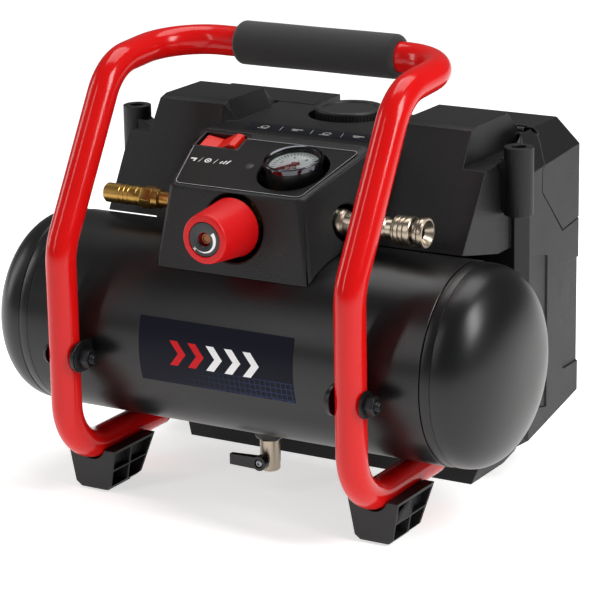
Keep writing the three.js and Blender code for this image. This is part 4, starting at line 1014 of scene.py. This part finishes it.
# ---------------------------------------------------------------- console
@dataclass
class Console:
    """The sloping control console with its switch, gauge, pressure knob and prints.

    Attributes:
        front_y: The sloped panel's front edge.
        front_z: Its height there.
        back_y: The sloped panel's back edge.
        back_z: Its height there.
        edge: The width that the housing's edges are broken by.
        inset_front: Half the inset panel's width at its front.
        inset_back: Half its width at its back.
        inset_start: How far up the slope the inset panel starts.
        inset_end: How far up the slope it ends.
        gauge_x: The gauge's place along X.
        gauge_y: Its place along Y.
        gauge_z: The height of its rim.
        gauge_radius: Its outer radius.
        gauge_tilt: How far it leans back.
        gauge_zero: Where the needle rests, anticlockwise from the top.
        gauge_well: The radius of the round recess that the gauge stands in.
        knob_front: The knob's radius at its face.
        knob_base: The knob's radius at its foot.
        bore: The radius of the knob's hole.
    """

    front_y: float = -84.5
    front_z: float = 233.6
    back_y: float = -14.0
    back_z: float = 260.0
    edge: float = 1.5
    inset_front: float = 51.0
    inset_back: float = 66.0
    inset_start: float = 3.5
    inset_end: float = 66.0
    gauge_x: float = 29.0
    gauge_y: float = -52.0
    gauge_z: float = 254.0
    gauge_radius: float = 21.5
    gauge_tilt: float = 12.0
    gauge_zero: float = 135.0
    gauge_well: float = 26.0
    knob_front: float = 17.6
    knob_base: float = 21.2
    bore: float = 5.0

    def __post_init__(self) -> None:
        """Works out the panel's slope."""
        self.slope = math.atan2(self.back_z - self.front_z, self.back_y - self.front_y)
        self.panel_up = Vector((0, math.cos(self.slope), math.sin(self.slope)))
        self.panel_out = Vector((0, -math.sin(self.slope), math.cos(self.slope)))

    def build(self) -> None:
        """Makes the housing and all that is set in it."""
        shell = refined("console_shell", "console_housing", self.edge, 2, clamp=False)
        fit(shell, MACHINE, Finishes.MOULDED_PA.material(),
            ["console_housing"])
        self.inset_panel()
        self.pictograms()
        frame_piece = refined("switch_frame_tray", "switch_frame", 0.5, 2)
        fit(frame_piece, MACHINE, Finishes.SMOOTH_ABS.material(),
            ["switch_frame"])
        rocker = refined("rocker_switch_cap", "rocker_switch", 0.7, 3, 18)
        fit(rocker, "rocker_switch_body", Finishes.ROCKER_PC.material(),
            ["rocker_switch"])
        self.gauge()
        self.knob()

    def on_panel(self, x: float, up: float, out: float = 0.0) -> Vector:
        """Gives a point on the sloped panel.

        Args:
            x: Its place along X.
            up: Its distance up the slope from the front edge.
            out: Its height over the panel.

        Returns:
            The point, in metres.
        """
        start = Vector((x, self.front_y, self.front_z)) * MM
        return start + self.panel_up * up * MM + self.panel_out * out * MM

    def panel_place(self, x: float, up: float, out: float = 0.0) -> Matrix:
        """Gives the placing of a flat thing that lies on the sloped panel, as on_panel does."""
        return Matrix.Translation(self.on_panel(x, up, out)) @ Matrix.Rotation(self.slope, 4, "X")

    def inset_panel(self) -> None:
        """Lays the smooth inset panel round the gauge and the switch, its raised border ring
        painted light grey as a painted highlight of its edge.
        """
        length = self.inset_end - self.inset_start
        deselect()
        bpy.ops.mesh.primitive_cube_add(size=MM)
        piece = started("console_inset_panel")
        bpy.ops.transform.resize(value=(2 * self.inset_front, length, 0.8))
        settle(piece)
        select_where(piece, lambda face: face.normal.y > 0.9)
        share = self.inset_back / self.inset_front
        bpy.ops.transform.resize(value=(share, 1, 1))
        bpy.ops.mesh.select_all(action="DESELECT")
        bpy.ops.object.mode_set(mode="OBJECT")
        for edge in piece.data.edges:
            ends = [piece.data.vertices[i].co for i in edge.vertices]
            edge.select = abs(ends[0].z - ends[1].z) > 0.5 * MM
        bpy.ops.object.mode_set(mode="EDIT")
        bpy.ops.mesh.select_mode(type="EDGE")
        bpy.ops.mesh.bevel(offset=4.5 * MM, segments=6, affect="EDGES")
        settle(piece)
        select_where(piece, lambda face: face.normal.z > 0.9)
        bpy.ops.mesh.inset(thickness=0.55 * MM)
        bpy.ops.mesh.inset(thickness=0.35 * MM)
        bpy.ops.transform.translate(value=(0, 0, -0.25 * MM))
        bpy.ops.object.mode_set(mode="OBJECT")
        settle(piece, self.panel_place(0, (self.inset_start + self.inset_end) / 2, -0.1))
        fit(piece, MACHINE, Finishes.PANEL_FILM.material())
        # The raised outer border ring is painted light grey: a painted highlight of its edge.
        piece.data.materials.append(Finishes.PRINT_GREY.material())
        for face in piece.data.polygons:
            local = face.center - self.on_panel(0, 0)
            lift = local.dot(self.panel_out)
            if face.normal.dot(self.panel_out) > 0.99 and lift > 0.25 * MM:
                face.material_index = 1
        deselect()
        bpy.ops.mesh.primitive_cylinder_add(vertices=64, radius=(self.gauge_well + 0.3) * MM,
                                            depth=30 * MM)
        hole = bpy.context.object
        settle(hole, self.panel_place(self.gauge_x, self.up_of(self.gauge_y)))
        cut_with(piece, hole)
        low, high = corners("switch_frame")
        width = (high.x - low.x) / MM + 1.0
        middle = (low.x + high.x) / 2 / MM
        slot = block("switch_cutout", (width, 22.0, 20.0), (0, 0, 0), 0.3,
                     self.panel_place(middle, self.up_of(-27.0)))
        cut_with(piece, slot)
        smooth(piece)

    def up_of(self, y: float) -> float:
        """Gives the distance up the slope of a place along Y."""
        return (y - self.front_y) / math.cos(self.slope)

    def pictograms(self) -> None:
        """Prints three plain signs between thin strokes: a ring, a bar pair and a wedge."""
        up = self.up_of(-52.5)
        ink = Finishes.PRINT_WHITE.material()
        made: list[bpy.types.Object] = []
        out = 0.02

        def bar(x: float, rise: float, size: tuple[float, float], turn: float = 0.0) -> None:
            """Adds one printed bar.

            Args:
                x: Its place along X.
                rise: Its place up the slope.
                size: Its width and height.
                turn: How far it is turned.
            """
            place = self.panel_place(x, up + rise, out) @ Matrix.Rotation(
                math.radians(turn), 4, "Z")
            made.append(block("sign_bar", (*size, 0.14), (0, 0, 0), 0.03, place))

        for x in (-47.0, -34.5):
            bar(x, 0, (0.35, 6.0), -12)
        bar(-53.0, 0.8, (5.0, 1.5))
        bar(-51.5, -0.9, (1.5, 2.8))
        ring = turned("sign_ring", [(1.7, 0), (2.6, 0), (2.6, 0.12), (1.7, 0.12), (1.7, 0)],
                      self.panel_place(-40.8, up, out), 28)
        dot = turned("sign_dot", [(0, 0), (0.8, 0), (0.8, 0.12), (0, 0.12)],
                     self.panel_place(-40.8, up, out), 16)
        made += [ring, dot]
        for i, x in enumerate((-29.6, -26.9, -24.2)):
            bar(x, i * 0.5 - 0.4, (1.1, 3.2 + i), -18)
        signs = joined("console_signs", made)
        fit(signs, MACHINE, ink)
        dome = turned("console_round_dome", [(0, -0.3), (3.6, -0.3), (3.6, 0.1), (2.8, 0.4),
                                             (1.5, 0.6), (0, 0.66)],
                      self.panel_place(-6.4, self.up_of(-53.2)), 32)
        fit(dome, MACHINE, Finishes.MOULDED_ABS.material())

    def gauge_place(self, height: float) -> Matrix:
        """Gives the placing of a piece of the gauge at a height along its axis."""
        origin = Vector((self.gauge_x, self.gauge_y, self.gauge_z)) * MM
        lean = Matrix.Rotation(math.radians(self.gauge_tilt), 4, "X")
        return Matrix.Translation(origin) @ lean @ Matrix.Translation((0, 0, height * MM))

    def gauge(self) -> None:
        """Makes the pressure gauge: can, rim, dial with numbers, needle and window."""
        r = self.gauge_radius
        can = turned("gauge_can", [(0, -24), (r - 4, -24), (r - 2.2, -23), (r - 1.6, -21.4),
                                   (r - 1.6, -1), (r - 3.2, -1), (r - 3.2, -6), (0, -6)],
                     self.gauge_place(0), 96)
        fit(can, MACHINE, Finishes.SMOOTH_ABS.material(), ["gauge_case"])
        rim = turned("gauge_rim", [(r - 1.3, -3.4), (r - 0.3, -3.4), (r, -3.1),
                                   *arc((r - 1.1, -0.1), 1.1, 0, 100, 8), (r - 2.6, 0.5),
                                   (r - 3.2, -0.1), (r - 3.2, -0.7), (r - 1.3, -0.7),
                                   (r - 1.3, -3.4)], self.gauge_place(0), 96)
        fit(rim, MACHINE, Finishes.BLACK_CHROME.material(), ["gauge_bezel"])
        lean = math.radians(self.gauge_tilt)
        dial_up = (0.0, math.cos(lean), math.sin(lean))
        face = self.gauge_place(-5).to_translation() / MM
        dial = turned("gauge_dial_disc", [(1.6, -5.7), (r - 3.6, -5.7), (r - 3.6, -5.0),
                                          (r - 3.7, -4.9), (1.6, -4.9), (1.6, -5.7)],
                      self.gauge_place(0), 96)
        finish = PolarPrint("aluminium_painted_dial", "c9cbca", "c9cbca", 0.5,
                            centre=tuple(face), up=dial_up, ink="1c1c1e", inner=13.0,
                            outer=15.6, ticks=30, sweep=135.0, turn=90.0)
        fit(dial, MACHINE, finish.build(), ["gauge_dial"])
        numbers = []
        for i in range(6):
            angle = math.radians(90 + self.gauge_zero - i * 2 * self.gauge_zero / 5)
            deselect()
            bpy.ops.object.text_add()
            text = bpy.context.object
            text.data.body = str(2 * i)
            text.data.size = 4.2 * MM
            text.data.extrude = 0.03 * MM
            text.data.align_x = "CENTER"
            text.data.align_y = "CENTER"
            bpy.ops.object.convert(target="MESH")
            piece = bpy.context.object
            at = Matrix.Translation((10.2 * MM * math.cos(angle), 10.2 * MM * math.sin(angle), 0))
            settle(piece, self.gauge_place(-4.85) @ at)
            numbers.append(piece)
        scale = joined("gauge_numbers", numbers)
        fit(scale, MACHINE, Finishes.SMOOTH_ABS.material())
        needle = refined("gauge_needle_blade", "gauge_needle", 0.12, 2)
        fit(needle, "needle_body", Finishes.NEEDLE_PAINT.material(),
            ["gauge_needle"])
        lens = turned("gauge_window", [(0, -2.4), (r - 3.7, -2.4), (r - 3.5, -2.2),
                                       (r - 3.5, -1.3), (r - 4.0, -1.0), (0, -0.85)],
                      self.gauge_place(0), 96)
        fit(lens, MACHINE, GaugeGlass("polycarbonate_clear", "f4f7f7", "f4f7f7",
                                              0.03).build(), ["gauge_lens"])

    def knob(self) -> None:
        """Turns the pressure knob, with its printed disc in the face."""
        low, high = corners("regulator_knob")
        length = (high.y - low.y) / MM
        foot = Vector(((low.x + high.x) / 2, high.y, (low.z + high.z) / 2))
        disc = self.knob_front - 5.4
        ledge = disc + 0.3
        soft = 2.2
        outline = [(self.bore, 0), (self.knob_base - 0.7, 0), (self.knob_base, 0.8)]
        outline += [(self.knob_base - 0.25, 2.2), (self.knob_front + 0.3, length - 3.2)]
        outline += arc((self.knob_front - soft, length - soft), soft, 4, 90, 7)
        outline += [(ledge + 0.4, length), (ledge, length - 0.4), (ledge, length - 2.4),
                    (self.bore, length - 2.4), (self.bore, 0)]
        place = facing(foot, -Y_AXIS)
        body = turned("regulator_knob_moulding", outline, place, 96)
        fit(body, "regulator_knob_body", Finishes.RED_ABS.material(),
            ["regulator_knob"])
        plate = turned("knob_inset_disc", [(self.bore, length - 2.1), (disc, length - 2.1),
                                           (disc, length - 0.7), (disc - 0.4, length - 0.4),
                                           (self.bore + 1.2, length - 0.3),
                                           (self.bore, length - 0.9), (self.bore, length - 2.1)],
                       place, 96)
        centre = (foot.x / MM, 0.0, foot.z / MM)
        finish = PolarPrint("abs_black_pad_printed", "1a1a1b", "1a1a1b", 0.35, centre=centre,
                            inner=6.6, outer=9.6, sweep=88.0, turn=-52.0)
        fit(plate, "regulator_knob_body", finish.build(), ["knob_inset"])
        stem = self.bore - 0.7
        sleeve = turned("knob_bronze_stem", [(0, 6), (stem, 6), (stem, length - 4.0),
                                             (stem - 0.8, length - 3.2), (stem - 1.6, length - 3.2),
                                             (stem - 2.0, length - 3.8), (0, length - 3.8)],
                        place, 32)
        fit(sleeve, MACHINE, Finishes.BRONZE.material())
        marks = []
        for x, z, wide, high_ in ((-7.6, -7.2, 2.6, 0.7), (-7.6, -7.2, 0.7, 2.6)):
            at = Vector((foot.x + x * MM, low.y + 0.3 * MM, foot.z + z * MM))
            marks.append(block("knob_mark", (wide, 0.12, high_), (0, 0, 0), 0.02,
                               Matrix.Translation(at)))
        sign = joined("knob_plus_sign", marks)
        fit(sign, "regulator_knob_body", Finishes.PRINT_WHITE.material())


# ---------------------------------------------------------------- fittings
@dataclass
class Outlets:
    """The brass safety valve on the left and the quick coupling on the right.

    Attributes:
        start: Where both begin, out from the middle.
        pin: The safety pin's radius.
        socket: The radius of the coupling's socket.
        sleeve: The sleeve's radius.
        grooves: Where the sleeve's grooves begin.
    """

    start: float = 62.3
    pin: float = 2.0
    socket: float = 5.2
    sleeve: float = 10.4
    grooves: tuple[float, ...] = (2.0, 5.5, 9.0)

    def build(self) -> None:
        """Makes both fittings."""
        self.safety_valve()
        self.coupling()

    def safety_valve(self) -> None:
        """Turns the safety valve and its pull pin."""
        low, high = corners("safety_valve_body")
        middle = (low + high) / 2
        origin = Vector((-self.start * MM, middle.y, middle.z))
        place = facing(origin, -X_AXIS)
        length = -low.x / MM - self.start
        shank = [(2.6, 0), (7.6, 0), (7.6, 13), (5.6, 13.8), (5.6, 21.6), (6.6, 22.4), (7.2, 23),
                 (7.2, 39.5), (6.7, 40.1), (6.7, 41.3), (7.2, 41.9)]
        for h in (46.5, 50.5, 54.5):
            shank += [(7.2, h), (6.8, h + 0.4), (6.8, h + 1.4), (7.2, h + 1.8)]
        shank += [(7.2, length - 1.2), (6.3, length), (5.2, length), (5.0, length - 0.5),
                  (5.0, length - 8), (2.6, length - 8), (2.6, 0)]
        body = turned("safety_valve_shank", shank, place, 64)
        nuts = []
        for bottom, top, radius in ((1.0, 13.0, 9.4), (28.0, 38.0, 8.6)):
            nuts.append(turned("valve_hexagon", [(5.8, bottom), (radius - 1, bottom),
                                                 (radius, bottom + 0.8), (radius, top - 0.8),
                                                 (radius - 1, top), (5.8, top), (5.8, bottom)],
                               place, 6, 0.3))
        piece = joined("safety_valve_turned", [body, *nuts])
        fit(piece, MACHINE, Finishes.BRASS.material(), ["safety_valve_body"])
        pin = turned("safety_valve_plunger", [(0, length - 30), (self.pin, length - 30),
                                              (self.pin, length - 5), (3.8, length - 5),
                                              (3.8, length - 3.9), (3.2, length - 3.5),
                                              (3.2, length - 2.7), (3.8, length - 2.3),
                                              (3.4, length - 1.5), (self.pin, length - 1.5),
                                              (self.pin, length - 0.4),
                                              (self.pin - 0.5, length), (0, length)], place, 40)
        fit(pin, "safety_pin_body", Finishes.BRASS.material(), ["safety_valve_pin"])

    def coupling(self) -> None:
        """Turns the coupling's body and its sprung sleeve."""
        low, high = corners("coupling_body")
        middle = (low + high) / 2
        place = facing(Vector((self.start * MM, middle.y, middle.z)), X_AXIS)
        length = high.x / MM - self.start
        at = corners("coupling_sleeve")[0].x / MM - self.start
        slide = at - 0.5
        outline = [(3, 0), (9.6, 0), (9.6, 4.6), (9.0, 5.6), (8.0, 7), (8.0, slide - 9.5),
                   (7.5, slide - 9), (7.5, slide - 8), (8.0, slide - 7.5), (8.0, slide - 6),
                   (7, slide - 5), (7, slide + 16), (9.4, slide + 17.2), (9.9, slide + 18.2),
                   (9.9, length - 4.6), (10.8, length - 3.2), (10.8, length - 0.9),
                   (10.2, length), (8.8, length), (8.4, length - 0.6), (6.4, length - 3.4),
                   (self.socket, length - 5), (self.socket, 6), (3, 6), (3, 0)]
        body = turned("coupling_turned_body", outline, place, 80)
        fit(body, MACHINE, Finishes.NICKEL.material(), ["coupling_body"])
        reach = (corners("coupling_sleeve")[1].x - corners("coupling_sleeve")[0].x) / MM
        r, inner = self.sleeve, 7.5
        ring = [(inner, at), (r - 0.9, at), (r - 0.3, at + 0.6), (r, at + 1.2)]
        for h in self.grooves:
            ring += [(r, at + h), (r - 1, at + h + 0.5), (r - 1, at + h + 1.7), (r, at + h + 2.2)]
        ring += [(r, at + reach - 0.6), (r - 0.6, at + reach), (inner, at + reach), (inner, at)]
        sleeve = turned("coupling_grooved_sleeve", ring, place, 80)
        fit(sleeve, "coupling_sleeve_body", Finishes.NICKEL.material(),
            ["coupling_sleeve"])


@dataclass
class Drain:
    """The drain valve under the tank.

    Attributes:
        lever_edge: The width that the lever's edges are broken by.
    """

    lever_edge: float = 1.1

    def build(self) -> None:
        """Makes the boss, the valve, the lever and its screw."""
        boss = refined("drain_boss_forged", "drain_boss", 0.6, 2)
        fit(boss, MACHINE, Finishes.TANK_POWDER_COAT.material(), ["drain_boss"])
        body = refined("drain_valve_turned", "drain_valve_body", 0.5, 3, 30)
        fit(body, MACHINE, Finishes.NICKEL.material(), ["drain_valve_body"])
        lever = refined("drain_lever_moulded", "drain_lever", self.lever_edge, 3)
        fit(lever, "drain_lever_body", Finishes.SMOOTH_ABS.material(),
            ["drain_lever"])
        low, high = corners("drain_lever_screw")
        middle = (low + high) / 2
        radius = (high.z - low.z) / 2 / MM
        thick = (high.y - low.y) / MM
        head = turned("drain_screw_head", [(0, 0), (radius, 0), (radius, thick * 0.5),
                                           (radius * 0.8, thick * 0.85), (1.2, thick),
                                           (1.2, thick * 0.45), (0, thick * 0.45)],
                      facing(Vector((middle.x, high.y, middle.z)), -Y_AXIS), 40)
        fit(head, "drain_lever_body", Finishes.ZINC_STEEL.material(),
            ["drain_lever_screw"])


# ---------------------------------------------------------------- covers
@dataclass
class Covers:
    """The pump cover, the rear housing, the battery lid and the filter cap.

    Attributes:
        edge: The width that the big mouldings' edges are broken by.
        strip_left: The left end of the printed strip's front edge.
        strip_right: The right end of its front edge.
        strip_front: The strip's front edge.
        strip_back: Its back edge.
        strip_z: The height of the saddle that it lies on.
        strip_slant: How far its back edge is shifted to the left.
        cap_ribs: How many grip ribs the filter cap has.
    """

    edge: float = 0.6
    strip_left: float = -43.0
    strip_right: float = 58.0
    strip_front: float = 2.5
    strip_back: float = 24.5
    strip_z: float = 257.5
    strip_slant: float = 7.0
    cap_ribs: int = 60

    def build(self) -> None:
        """Makes every cover."""
        mouldings = (("pump_cover", "black_plastic", MACHINE, Finishes.MOULDED_PA),
                     ("rear_housing", "grey_plastic", MACHINE, Finishes.MOULDED_PA),
                     ("battery_lid", "grey_plastic", "battery_lid_body", Finishes.MOULDED_PA))
        for source, slot, body, finish in mouldings:
            piece = refined(f"{source}_moulding", source, self.edge, 2, clamp=False)
            fit(piece, body, finish.material(), [source])
        self.strip()
        self.filter_cap()

    def strip(self) -> None:
        """Lays the printed strip on the saddle, with four plain signs."""
        deselect()
        bpy.ops.mesh.primitive_cube_add(size=MM)
        piece = started("cover_printed_strip")
        middle = (self.strip_front + self.strip_back) / 2
        bpy.ops.transform.resize(value=(self.strip_right - self.strip_left,
                                        self.strip_back - self.strip_front, 0.16))
        settle(piece)
        select_where(piece, lambda face: face.normal.y > 0.9)
        bpy.ops.transform.translate(value=(-self.strip_slant * MM, 0, 0))
        settle(piece, Matrix.Translation(Vector(((self.strip_left + self.strip_right) / 2,
                                                 middle, self.strip_z + 0.06)) * MM))
        fit(piece, MACHINE, Finishes.STRIP_VINYL.material())
        top = self.strip_z + 0.16
        made: list[bpy.types.Object] = []
        for x in (-19.5, 6.0, 31.0):
            lean = Matrix.Rotation(math.radians(18), 4, "Z")
            made.append(block("strip_stroke", (0.4, 12.0, 0.1), (0, 0, 0), 0.02,
                              Matrix.Translation(Vector((x, middle, top)) * MM) @ lean))
        for i, x in enumerate((-33.0, -7.0, 18.5, 43.5)):
            place = Matrix.Translation(Vector((x, middle, top - 0.03)) * MM)
            if i % 2:
                made.append(block("strip_bar", (9.0, 2.2, 0.1), (0, 1.8, 0), 0.02, place))
                made.append(block("strip_foot", (5.0, 1.4, 0.1), (0, -1.6, 0), 0.02, place))
            else:
                made.append(turned("strip_ring", [(2.3, 0), (3.3, 0), (3.3, 0.08), (2.3, 0.08),
                                                  (2.3, 0)], place, 32))
                made.append(block("strip_dash", (8.0, 1.0, 0.1), (0, -4.6, 0.04), 0.02, place))
        signs = joined("cover_strip_signs", made)
        fit(signs, MACHINE, Finishes.PRINT_WHITE.material())

    def filter_cap(self) -> None:
        """Turns the filter cap and raises its grip ribs, then dresses the filter."""
        low, high = corners("filter_cap")
        middle = (low + high) / 2
        r = (high.x - low.x) / 2 / MM
        tall = (high.z - low.z) / MM
        place = facing(Vector((middle.x, middle.y, low.z)), Z_AXIS)
        outline = [(r - 3, 0), (r - 0.6, 0), (r - 0.6, tall - 3.2),
                   *arc((r - 2.2, tall - 1.9), 1.9, 0, 90, 5), (r - 5.6, tall),
                   (r - 6.2, tall - 0.3), (r - 6.5, tall - 1.1), (9.0, tall - 1.0),
                   (7.6, tall - 1.3), (0, tall - 1.3)]
        outline += [(0, tall - 4.5), (r - 3, tall - 4.5), (r - 3, 0)]
        cap = turned("filter_cap_moulding", outline, place, 2 * self.cap_ribs)
        step = math.pi / self.cap_ribs

        def is_rib(face: bpy.types.MeshPolygon) -> bool:
            """Says whether a face is every other one of the outer wall."""
            offset = face.center - middle
            flat = math.hypot(offset.x, offset.y) > (r - 1.0) * MM
            turn = int(math.floor(math.atan2(offset.y, offset.x) / step)) % 2
            return flat and abs(face.normal.z) < 0.05 and turn == 0

        select_where(cap, is_rib)
        bpy.ops.mesh.extrude_region_shrink_fatten(
            TRANSFORM_OT_shrink_fatten={"value": 0.5 * MM})
        settle(cap)
        smooth(cap)
        fit(cap, "filter_cap_body", Finishes.MOULDED_ABS.material(),
            ["filter_cap"])
        element = refined("filter_foam_disc", "filter_element", 0.0)
        fit(element, MACHINE, Finishes.FOAM.material(), ["filter_element"])


# ---------------------------------------------------------------- inside
class InnerFinish(Enum):
    """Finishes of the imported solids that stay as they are, by their material slot."""

    RED_PAINT = ("red_paint", Finishes.RED_POWDER_COAT)
    TANK_PAINT = ("tank_paint", Finishes.TANK_POWDER_COAT)
    BLACK_PLASTIC = ("black_plastic", Finishes.MOULDED_PA)
    GREY_PLASTIC = ("grey_plastic", Finishes.MOULDED_ABS)
    RED_PLASTIC = ("red_plastic", Finishes.RED_ABS)
    FOAM = ("foam", Finishes.FOAM)
    RUBBER = ("rubber", Finishes.RUBBER)
    BRASS = ("brass", Finishes.BRASS)
    NICKEL = ("nickel", Finishes.NICKEL)
    STEEL = ("steel", Finishes.ZINC_STEEL)
    DARK_STEEL = ("dark_steel", Finishes.BLACK_ZINC)
    ALUMINIUM = ("aluminium", Finishes.CAST_ALUMINIUM)
    BEZEL = ("bezel_chrome", Finishes.CHROME)
    BOARD = ("circuit_board", Finishes.SOLDER_MASK)


def dress_packed_solids() -> None:
    """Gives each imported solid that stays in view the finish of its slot."""
    by_slot = {entry.value[0]: entry.value[1] for entry in InnerFinish}
    for name, solid in frame["nodes"].items():
        if not solid.material_slots:
            continue
        for holder in solid.material_slots:
            found = holder.material.name if holder.material else ""
            key = next((slot for slot in by_slot if found.startswith(slot)), None)
            if key:
                holder.material = by_slot[key].material()
                LOG.info("%s keeps its packed shape, in %s", name, by_slot[key].value.name)


# ---------------------------------------------------------------- studio
@dataclass
class Studio:
    """The pale floor, the soft lights and the camera.

    Attributes:
        camera_at: Where the camera stands, in metres.
        azimuth: How far round to the right it stands.
        elevation: How far up it stands.
        roll: How far it is turned about its own axis.
        aim_right: How far its centre is aside of the machine's origin line.
        aim_up: How far its centre is above that line.
        lens: Its focal length.
        floor_size: The floor's width, in metres, wide enough to hide its edge.
    """

    camera_at: tuple[float, float, float] = (0.98574, -1.65549, 0.69107)
    azimuth: float = 30.33
    elevation: float = 14.78
    roll: float = -0.91
    aim_right: float = -17.39 / 2754.5
    aim_up: float = -64.23 / 2754.5
    lens: float = 165.3
    floor_size: float = 60.0

    def build(self) -> None:
        """Sets the studio up."""
        self.camera()
        self.floor()
        self.lights()

    def camera(self) -> None:
        """Stands the camera where the machine is seen from."""
        az, el, roll = (math.radians(v) for v in (self.azimuth, self.elevation, self.roll))
        back = Vector((math.sin(az) * math.cos(el), -math.cos(az) * math.cos(el), math.sin(el)))
        level = Vector((math.cos(az), math.sin(az), 0))
        upright = back.cross(level)
        right = math.cos(roll) * level + math.sin(roll) * upright
        up = math.cos(roll) * upright - math.sin(roll) * level
        forward = (-back + right * self.aim_right + up * self.aim_up).normalized()
        side = forward.cross(up).normalized()
        top = side.cross(forward)
        deselect()
        bpy.ops.object.camera_add(location=self.camera_at)
        camera = bpy.context.object
        camera.name = "main_camera"
        camera.rotation_euler = Matrix((side, top, -forward)).transposed().to_euler()
        camera.data.lens = self.lens
        camera.data.sensor_width = 36.0
        bpy.context.scene.camera = camera

    def floor(self) -> None:
        """Lays the floor of pale paper."""
        deselect()
        bpy.ops.mesh.primitive_plane_add(size=self.floor_size)
        piece = started("studio_floor")
        settle(piece)
        piece.data.materials.append(Finishes.FLOOR_PAPER.material())

    def lights(self) -> None:
        """Hangs a big soft light at the right, a strip at the front and a soft sky."""
        self.area("key_softbox", (1.7, -0.2, 1.5), (0.0, 0.0, 0.18), (0.7, 1.2), 34.0)
        self.area("top_softbox", (-0.1, 0.5, 2.1), (0.0, 0.0, 0.2), (1.8, 1.2), 26.0)
        self.area("front_strip", (-0.9, -1.9, 1.3), (0.0, 0.0, 0.15), (0.2, 1.6), 7.0)
        self.area("left_fill", (-1.9, -0.4, 0.8), (0.0, 0.0, 0.15), (0.5, 1.2), 8.0)
        world = bpy.data.worlds.new("studio_sky")
        world.use_nodes = True
        world.node_tree.nodes.clear()
        sky = node(world.node_tree, "ShaderNodeBackground",
                   {"Color": (1.0, 1.0, 1.0, 1.0), "Strength": 0.14})
        node(world.node_tree, "ShaderNodeOutputWorld",
             links={"Surface": sky.outputs["Background"]})
        bpy.context.scene.world = world
        view = bpy.context.scene.view_settings
        view.view_transform = "Standard"

    @staticmethod
    def area(name: str, at: tuple[float, float, float], target: tuple[float, float, float],
             size: tuple[float, float], power: float) -> None:
        """Hangs one rectangular soft light.

        Args:
            name: The light's name.
            at: Where it hangs, in metres.
            target: What it faces.
            size: Its width and height, in metres.
            power: Its power in watts.
        """
        deselect()
        bpy.ops.object.light_add(type="AREA", location=at)
        light = bpy.context.object
        light.name = name
        light.rotation_euler = (Vector(target) - Vector(at)).to_track_quat("-Z", "Y").to_euler()
        light.data.shape = "RECTANGLE"
        light.data.size, light.data.size_y = size
        light.data.energy = power


def main() -> None:
    """Builds and dresses every sub-assembly."""
    logging.basicConfig(level=logging.INFO, format="%(name)s: %(message)s")
    deselect()
    Studio().build()
    dress_packed_solids()
    for assembly in (Tank(), CarryFrame(), Console(), Outlets(), Drain(), Covers()):
        LOG.info("building %s", type(assembly).__name__)
        assembly.build()
    deselect()


if __name__ == "__main__":
    main()
